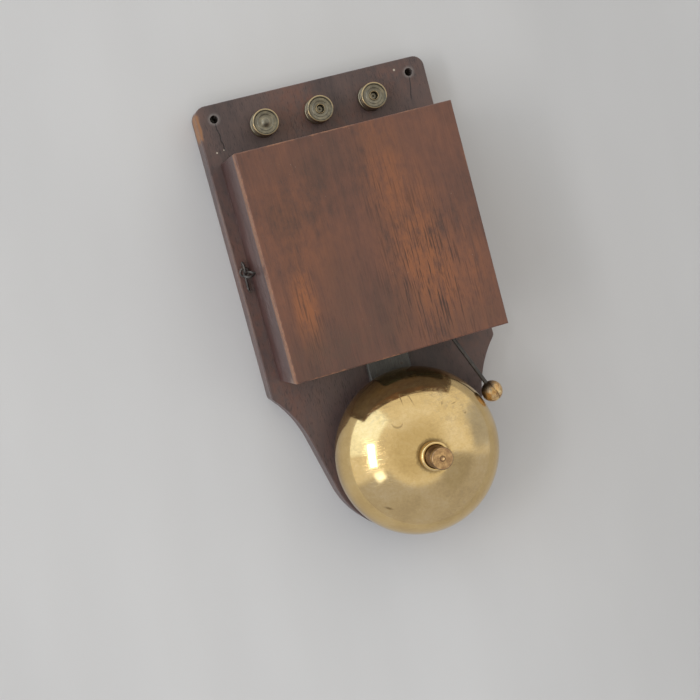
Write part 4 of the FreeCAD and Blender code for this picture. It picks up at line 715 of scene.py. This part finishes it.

# %% [markdown]
# The terminals are dark with age, apart from a thin bright line painted along each raised
# rim and round each stud's end, as a highlight and as metal that fingers keep bright. One
# paint serves them all: wrapping X round the spacing gives the distance from the nearest
# terminal's axis, and with it the painted bright rims.

# %% Aged terminal brass
aged = Paint("aged_terminal_brass")
x, y, z = aged.axes((0, TERMINAL_Y, BOARD_FACE))
wrapped = (x + SPACING / 2).maths("WRAP", SPACING, 0.0) - SPACING / 2
reach = (wrapped * wrapped + y * y).root()
patchy = aged.noise(1.8, detail=4, rough=0.6)
bronze = aged.ramp(patchy, (0.36, (0.185, 0.170, 0.138)), (0.52, (0.240, 0.220, 0.174)),
                   (0.66, (0.31, 0.272, 0.200)))
# painted highlight and handling: thin bright lines on the rims and round the studs' ends
on_top = z.rise(TOP - 0.5, TOP - 0.25)
rim = reach.rise(THUMB - 0.55, THUMB - 0.25) * on_top
eye = reach.rise(POST, POST + 0.15) * reach.rise(POST + 0.65, POST + 0.45)
eye = eye * z.rise(TOP - 0.65, TOP - 0.45)
highlight_and_handling = rim.larger(eye * 0.8).larger(reach.rise(THUMB - 0.3, THUMB - 0.05) * 0.35)
highlight_and_handling = highlight_and_handling * aged.noise(3.5, detail=2, shift=3.0).rise(0.30, 0.46)
bronze = aged.blend(highlight_and_handling * 0.8, bronze, (0.62, 0.46, 0.25))
rings = (reach * 14.0).maths("SINE")
wear(aged.finish(base_color=bronze, metallic=1.0,
                 roughness=patchy * 0.25 + 0.28 - highlight_and_handling * 0.1,
                 normal=aged.bump(rings + patchy * 1.5, 0.003)),
     *thumb_nuts, "terminal_post_left", "terminal_post_middle", "terminal_post_right",
     "terminal_washers", "terminal_back_nuts")

# %% [markdown]
# ## The hammer
# A dark steel rod leans out from under the cover and carries a small ball. The ball is
# turned here with the fine mesh that a mirror needs, about an axis in line with the rod,
# with a blind hole for the rod's end. Its upper left is painted dark as shade, and the
# rest is mottled gold where it is rubbed.

# %% Hammer
low, high = millimetres("hammer_ball")
ball_centre = [(a + b) / 2 for a, b in zip(low, high)]
BALL = (high[2] - low[2]) / 2
ROD_HOLE, ROD_REACH = 0.92, 0.64
ROD_BEND = (17.0, 8.5)
hole_end = BALL * ROD_REACH
lean = Vector((ball_centre[0] - ROD_BEND[0], ball_centre[1] - ROD_BEND[1], 0)).normalized()
mouth = math.degrees(math.acos(ROD_HOLE / BALL))
ball_profile = [(0, hole_end), (ROD_HOLE, hole_end)] + arc((0, 0), BALL, -mouth, 90, 48)
ball = new_piece("striker_ball", turned(ball_profile, ball_centre, axis=lean, steps=96),
                 "hammer", "ball_copper", "hammer_ball")

striker = Paint("rubbed_striker_ball")
x, y = striker.axes(ball_centre)[:2]
patchy = striker.noise(2.0, detail=5, rough=0.7, shift=1.5)
copper = striker.ramp(patchy, (0.38, (0.46, 0.27, 0.12)), (0.50, (0.72, 0.45, 0.19)),
                      (0.62, (1.0, 0.78, 0.40)))
# painted shade: the ball's upper left is darkened
shade = (y * 0.55 - x * 0.55 + patchy * 9.0).rise(4.2, 7.4)
copper = striker.blend(shade * 0.88, copper, (0.18, 0.135, 0.10))
seam = abs(x * 0.9 + y * 0.35 + patchy * 2.0 - 1.4).rise(0.35, 0.12) * 0.6
copper = striker.blend(seam, copper, (0.12, 0.075, 0.045))
wear(striker.finish(base_color=copper, metallic=1.0,
                    roughness=patchy * 0.35 + 0.12 + shade * 0.15,
                    normal=striker.bump(patchy, 0.05)), ball)

# %% [markdown]
# ## Iron, steel and screws
# The frame plate and the yoke were painted black and have rusted a little. The cores and
# the armature are bare soft iron, grey with some rust. The rod, the hooks and the eyes
# have gone almost black. One function makes all these metals: a body colour, a rust that
# gathers in a slow noise, and a brushing along one direction.

# %% Dark metals
def old_metal(name, light, dark, rust, metallic, rough, brush=(1, 12, 1), rust_level=0.60):
    """A metal with brushing along one axis and rust where a slow noise is high."""
    paint = Paint(name)
    brushed = paint.noise(0.35, brush, detail=4, rough=0.6)
    patchy = paint.noise(5.5, detail=5, rough=0.65, shift=2.2)
    colour = paint.ramp(brushed * 0.5 + patchy * 0.5, (0.38, dark), (0.60, light))
    rusty = patchy.rise(rust_level - 0.04, rust_level + 0.06)
    rusty = rusty * paint.noise(0.9, detail=4).rise(0.38, 0.56)
    colour = paint.blend(rusty * 0.8, colour, rust)
    return paint.finish(base_color=colour, metallic=metallic,
                        roughness=brushed * 0.2 + rough + rusty * 0.25,
                        normal=paint.bump(brushed + rusty * 2.0, 0.02))


EVEN = (1, 1, 1)
wear(old_metal("black_painted_iron", (0.150, 0.147, 0.138), (0.082, 0.080, 0.076),
               (0.13, 0.070, 0.042), 0.3, 0.38), "frame_plate", "magnet_yoke")
wear(old_metal("soft_iron", (0.34, 0.325, 0.31), (0.19, 0.18, 0.17),
               (0.15, 0.075, 0.04), 0.9, 0.34), "core_lower", "core_upper", "armature")
wear(old_metal("bright_spring_steel", (0.50, 0.49, 0.47), (0.34, 0.335, 0.33),
               (0.20, 0.12, 0.07), 1.0, 0.22, rust_level=0.66), "armature_spring")
wear(old_metal("blued_screws", (0.20, 0.20, 0.215), (0.10, 0.10, 0.115),
               (0.14, 0.075, 0.045), 0.95, 0.26, brush=EVEN),
     "frame_screws", "core_screws", "yoke_screws", "bracket_screw", "clamp_screws")
wear(old_metal("blackened_rod", (0.115, 0.105, 0.098), (0.060, 0.055, 0.052),
               (0.10, 0.060, 0.040), 0.85, 0.36, brush=(1, 9, 1)), "hammer_rod")
wear(old_metal("dark_catch_wire", (0.17, 0.155, 0.145), (0.070, 0.063, 0.060),
               (0.11, 0.070, 0.050), 0.85, 0.34, brush=EVEN, rust_level=0.54),
     "catch_hook_left", "catch_hook_right", "catch_board_eyes", "catch_wall_eyes")

# %% [markdown]
# ## The contact
# The contact pillar, its screw and its lock nut are lacquered brass that has stayed
# clean under the cover. The screw's head is milled, so it is turned again here. The
# bracket, the clamp plate, the rivets and the lead screw are the same brass, and the
# block under the pillar is ebonite, a hard black rubber that goes a little brown.

# %% Contact screw and inner brass
low, high = millimetres("contact_screw")
length = high[0] - low[0]
HEAD, SHANK = 3.5, 1.5
TIP, HEAD_LONG, KNURL = 0.7, 3.0, 2.6
head_start, knurl_start, knurl_end = length - HEAD_LONG, length - KNURL, length - 0.4
screw_thread = []
for turn in range(20):
    screw_thread += [(SHANK, 1.6 + turn * 0.7), (SHANK - 0.14, 1.95 + turn * 0.7)]
screw_profile = [(0, 0), (TIP - 0.1, 0), (TIP, 0.1), (TIP, 1.0), (SHANK - 0.4, 1.0), (SHANK, 1.4)]
screw_profile += screw_thread
screw_profile += [(SHANK, head_start), (HEAD - 0.4, head_start), (HEAD, knurl_start), (HEAD, knurl_end)]
screw_profile += arc((HEAD - 0.4, knurl_end), 0.4, 0, 90, 5)[1:]
screw_profile += [(2.2, length), (1.9, length - 0.25), (0, length - 0.25)]
axis_y, axis_z = (low[1] + high[1]) / 2, (low[2] + high[2]) / 2
contact_screw = new_piece("milled_contact_screw",
                          turned(screw_profile, (low[0], axis_y, axis_z), axis=(1, 0, 0), steps=96,
                                 milled=(knurl_start, knurl_end, 0.14)),
                          "contact_screw", "turned_brass", "contact_screw", smooth=25)
inner_brass = Paint("lacquered_brass")
patchy = inner_brass.noise(4, detail=4, rough=0.6)
lacquer = inner_brass.ramp(patchy, (0.36, (0.42, 0.30, 0.13)), (0.62, (0.66, 0.48, 0.22)))
wear(inner_brass.finish(base_color=lacquer, metallic=1.0, roughness=patchy * 0.2 + 0.18,
                        normal=inner_brass.bump(inner_brass.noise(0.3, (1, 1, 8), detail=3), 0.01)),
     contact_screw, "contact_pillar", "contact_lock_nut", "armature_bracket", "spring_clamp",
     "lead_screw", "armature_rivets")

ebonite = Paint("brown_black_ebonite")
swirl = ebonite.noise(5, (1, 2, 1), detail=4, warp=1.5)
black = ebonite.ramp(swirl, (0.38, (0.022, 0.018, 0.015)), (0.64, (0.052, 0.040, 0.030)))
wear(ebonite.finish(base_color=black,
                    roughness=swirl * 0.25 + 0.30,
                    normal=ebonite.bump(ebonite.noise(0.5, (1, 6, 1), detail=3), 0.015)), "contact_insulator")

# %% [markdown]
# ## The windings
# Each bobbin holds a winding of cotton-covered wire, laid turn beside turn. We draw one
# half-round of the wire and spin it once about the bobbin's axis while it moves along by
# one pitch. Copies of that turn, each a pitch further on, join into a true helix. Its two
# open ends are drawn in to the bobbin's tube and bridged, which closes the winding.

# %% Windings
WIRE, TUBE, AROUND = 0.62, 4.9, 56


def winding(level):
    """A helix of covered wire over the space of a coil's CAD node."""
    low, high = millimetres(f"coil_{level}")
    radius = (high[2] - low[2]) / 2
    centre = Vector((0, (low[1] + high[1]) / 2, (low[2] + high[2]) / 2))
    turns = round((high[0] - low[0]) / WIRE) - 1
    pitch = (high[0] - low[0]) / (turns + 1)
    shape = bmesh.new()
    crest = arc((radius - pitch / 2, low[0] + pitch / 2), pitch / 2, -90, 90, 6)
    chain = [shape.verts.new((along * MM, 0, out * MM)) for out, along in crest]
    edges = [shape.edges.new(pair) for pair in zip(chain, chain[1:])]
    bmesh.ops.spin(shape, geom=chain + edges, axis=(1, 0, 0), cent=(0, 0, 0), angle=math.tau,
                   steps=AROUND, dvec=(pitch / AROUND * MM, 0, 0), use_duplicate=False)
    turn = shape.verts[:] + shape.edges[:] + shape.faces[:]
    for count in range(1, turns):
        copied = bmesh.ops.duplicate(shape, geom=turn)["geom"]
        bmesh.ops.translate(shape, verts=of_kind(copied, VERTS), vec=(count * pitch * MM, 0, 0))
    bmesh.ops.remove_doubles(shape, verts=shape.verts, dist=2e-6)
    ends = [edge for edge in shape.edges if edge.is_boundary]
    inwards = bmesh.ops.extrude_edge_only(shape, edges=ends)["geom"]
    shrink = TUBE / (radius - pitch / 2)
    bmesh.ops.scale(shape, verts=of_kind(inwards, VERTS), vec=(1, shrink, shrink))
    bore = [edge for edge in of_kind(inwards, EDGES) if edge.is_boundary]
    bmesh.ops.bridge_loops(shape, edges=bore)
    bmesh.ops.recalc_face_normals(shape, faces=shape.faces)
    shape.transform(Matrix.Translation(centre * MM))
    return new_piece(f"winding_{level}", shape, "board", "winding_cotton", f"coil_{level}", smooth=60)


windings = [winding(level) for level in ("lower", "upper")]

# %% [markdown]
# ## Covered wires
# The wires run from the terminals, in grooves behind the board and through its holes, to
# the coils, the frame and the contact. A wire is fed straight and bent round a pin, so
# the function below does just that: it extrudes a ring along each run and spins it at
# each corner.

# %% Covered wires
def bent_wire(name, node, route, thick, bend, sides=16):
    """Feeds and bends a round wire along the corners of a route, in millimetres."""
    points = [Vector(point) * MM for point in route]
    heading = (points[1] - points[0]).normalized()
    upright = Vector((0, 0, 1)).rotation_difference(heading).to_matrix().to_4x4()
    shape = bmesh.new()
    bmesh.ops.create_circle(shape, cap_ends=True, segments=sides, radius=thick / 2 * MM,
                            matrix=Matrix.Translation(points[0]) @ upright)
    ring = shape.edges[:]

    def feed(ring, step):
        grown = bmesh.ops.extrude_edge_only(shape, edges=ring)["geom"]
        bmesh.ops.translate(shape, verts=of_kind(grown, VERTS), vec=step)
        return of_kind(grown, EDGES)

    here = points[0]
    for corner, following in zip(points[1:-1], points[2:]):
        ahead = (following - corner).normalized()
        angle = heading.angle(ahead)
        cut = bend * MM * math.tan(angle / 2)
        ring = feed(ring, corner - heading * cut - here)
        axis = heading.cross(ahead).normalized()
        pin = corner - heading * cut + axis.cross(heading) * bend * MM
        swept = bmesh.ops.spin(shape, geom=ring, axis=axis, cent=pin, angle=angle,
                               steps=max(3, round(math.degrees(angle) / 9)), use_duplicate=False)
        ring = of_kind(swept["geom_last"], EDGES)
        here, heading = corner + ahead * cut, ahead
    ring = feed(ring, points[-1] - here)
    bmesh.ops.edgeloop_fill(shape, edges=ring)
    bmesh.ops.recalc_face_normals(shape, faces=shape.faces)
    return new_piece(name, shape, "board", "wire_cotton", node)


# %% [markdown]
# Each route is a list of corners. Three wires start in the grooves beside the terminals'
# back nuts and come up through the board. Two short ones join the coils to each other
# and to the frame. Tight corners are bent round a pin as thick as the wire.

# %% Wire routes
WIRE_DIA, LOOSE, GROOVE = 1.8, 2.6, 1.5
START_Y, LEAD_Y, MIDDLE_END_Y, RIGHT_Y = 87.4, 65.0, 60.65, 39.0
COIL_X, AXIS_Z, COIL_OUT = -18.1, 27.7, 10.1
LOWER_COIL, UPPER_COIL = 19.0, 45.0
CONTACT_X, CONTACT_Y = 31.5, 31.1
PLATE, CLEAR, RETURN_RUN = 3.0, 0.1, 4.4
OVER_PLATE = BOARD_FACE + PLATE + WIRE_DIA / 2 + CLEAR
return_y = LOWER_COIL - COIL_OUT - RETURN_RUN
ROUTES = (
    ("covered_wire_left", "wire_left", LOOSE,
     ((-SPACING, START_Y, GROOVE), (-SPACING, LEAD_Y, GROOVE), (-SPACING, LEAD_Y, BOARD_FACE + 8),
      (COIL_X, LEAD_Y - 2, AXIS_Z), (COIL_X, UPPER_COIL + COIL_OUT, AXIS_Z))),
    ("covered_wire_middle", "wire_middle", WIRE_DIA,
     ((0.0, START_Y, GROOVE), (0.0, LEAD_Y, GROOVE), (0.0, LEAD_Y, OVER_PLATE),
      (0.0, MIDDLE_END_Y, OVER_PLATE))),
    ("covered_wire_right", "wire_right", WIRE_DIA,
     ((SPACING, START_Y, GROOVE), (SPACING, RIGHT_Y, GROOVE), (SPACING, RIGHT_Y, OVER_PLATE),
      (CONTACT_X, RIGHT_Y, OVER_PLATE), (CONTACT_X, CONTACT_Y, OVER_PLATE))),
    ("coil_joining_wire", "coil_link", LOOSE,
     ((COIL_X, LOWER_COIL + COIL_OUT, AXIS_Z), (COIL_X, UPPER_COIL - COIL_OUT, AXIS_Z))),
    ("coil_return_wire", "coil_return", LOOSE,
     ((COIL_X, LOWER_COIL - COIL_OUT, AXIS_Z), (COIL_X, return_y, AXIS_Z),
      (COIL_X, return_y, BOARD_FACE + PLATE + CLEAR))),
)
wires = [bent_wire(name, node, route, WIRE_DIA, bend) for name, node, bend, route in ROUTES]

# %% [markdown]
# The windings and the wires are covered with green cotton that has faded unevenly, and
# the bobbins are turned from a dark wood.

# %% Cotton and turned wood
cotton = Paint("green_cotton_covering")
lapping = cotton.noise(0.22, detail=3, rough=0.6)
faded = cotton.noise(7, detail=4, rough=0.6, shift=3.0)
green = cotton.ramp(faded * 0.6 + lapping * 0.4, (0.38, (0.030, 0.066, 0.038)),
                    (0.52, (0.060, 0.125, 0.070)), (0.66, (0.115, 0.185, 0.105)))
wear(cotton.finish(base_color=green, roughness=lapping * 0.15 + 0.75, normal=cotton.bump(lapping, 0.08)),
     *windings, *wires)

bobbin = Paint("dark_turned_bobbin")
growth = bobbin.noise(0.8, (6, 1, 1), detail=4, rough=0.6)
turned_tone = bobbin.ramp(growth * 0.7 + bobbin.noise(6) * 0.3,
                          (0.38, (0.060, 0.033, 0.024)), (0.62, (0.145, 0.080, 0.052)))
wear(bobbin.finish(base_color=turned_tone, roughness=growth * 0.2 + 0.35,
                   normal=bobbin.bump(growth, 0.03)), "bobbin_lower", "bobbin_upper")

# %% [markdown]
# ## Floor and light
# The bell lies on pale cloth in soft daylight. A wide plane makes the cloth, with a few
# soft folds whose light and shade are also painted into its colour, and painted shade
# makes it a little darker towards the side away from the window.

# %% Floor
cloth = Paint("pale_cloth")
folds = cloth.noise(75, (1, 2.8, 1), detail=3, rough=0.45, turn=-38)
weave = cloth.noise(0.5, detail=2)
x = cloth.axes()[0]
# painted light and shade: the cloth's colour is paler where the folds stand higher
paler = cloth.ramp(folds, (0.3, (0.605, 0.598, 0.606)), (0.7, (0.650, 0.642, 0.650)))
# painted shade: the cloth grows darker towards +X, away from the window
shaded_cloth_colour = cloth.blend(x.rise(-20, 150) * 0.14, paler, (0.10, 0.09, 0.08))
sheet = bmesh.new()
bmesh.ops.create_grid(sheet, x_segments=2, y_segments=2, size=3.0)
floor_mesh = bpy.data.meshes.new("cloth")
sheet.to_mesh(floor_mesh)
sheet.free()
floor = bpy.data.objects.new("cloth", floor_mesh)
bpy.context.scene.collection.objects.link(floor)
wear(cloth.finish(base_color=shaded_cloth_colour, roughness=0.95,
                  normal=cloth.bump(weave, 0.03, cloth.bump(folds, 2.5))), floor)
print("cloth:", len(floor_mesh.polygons), "faces")

# %% [markdown]
# The sky is told by its bearing and height. A large window to the north-west is what the
# gong mirrors on its left side and the cover's left wall as a cool sheen, with a smaller
# bright pane beside it. The room is dimmer behind the lower end and to the right, and
# plain above.

# %% Sky
world = bpy.data.worlds.new("daylight")
bpy.context.scene.world = world
world.use_nodes = True
air = Tree(world.node_tree)
x, y, z = air.split(air.node("TexCoord", output="Generated"))
across = (x * x + y * y).root().larger(0.001)
height = z.maths("ARCSINE") * math.degrees(1)


def sector(bearing, half, low, high, soft=5.0):
    """A mask of the sky about a bearing, in degrees from +X towards +Y, between two heights."""
    turn = math.radians(bearing)
    facing = (x * math.cos(turn) + y * math.sin(turn)) / across
    inside = facing.rise(math.cos(math.radians(half + soft)), math.cos(math.radians(half - soft)))
    return inside * height.rise(low - soft, low + soft) * height.rise(high + soft, high - soft)


light = air.blend(height.rise(48, 70), (0.96, 0.95, 0.90), (0.73, 0.69, 0.58))
light = air.blend(sector(-90, 70, -90, 52), light, (0.52, 0.53, 0.59))
light = air.blend(sector(-42, 20, 26, 53), light, (0.44, 0.44, 0.46))
light = air.blend(sector(0, 16, -90, 24), light, (0.53, 0.57, 0.68))
light = air.blend(sector(144, 28, -10, 46, soft=2.0), light, (1.42, 1.62, 1.80))
light = air.blend(sector(-158, 6, 36, 46, soft=3.0), light, (2.6, 2.8, 3.0))
sky = world.node_tree.nodes["Background"]
air.tree.links.new(sky.inputs["Color"], light.socket)
print("sky:", len(air.tree.nodes), "shader nodes")

# %% [markdown]
# One area lamp is the clearest part of the window: it gives the shadow its direction and
# the gong its tall highlight.

# %% Lamp
WINDOW, TARGET = Vector((-1.24, 0.10, 1.08)), Vector((0, -0.03, 0.03))
lamp_data = bpy.data.lights.new("window", "AREA")
lamp_data.shape = "RECTANGLE"
lamp_data.size = 0.66
lamp_data.size_y = 0.22
lamp_data.energy = 3.4
lamp_data.color = (1.0, 0.99, 0.98)
lamp = bpy.data.objects.new("window", lamp_data)
lamp.location = WINDOW
lamp.rotation_euler = (TARGET - WINDOW).to_track_quat("-Z", "Y").to_euler()
bpy.context.scene.collection.objects.link(lamp)
bpy.context.scene.view_settings.view_transform = "Standard"
print("window lamp:", round(lamp_data.energy, 1), "W")
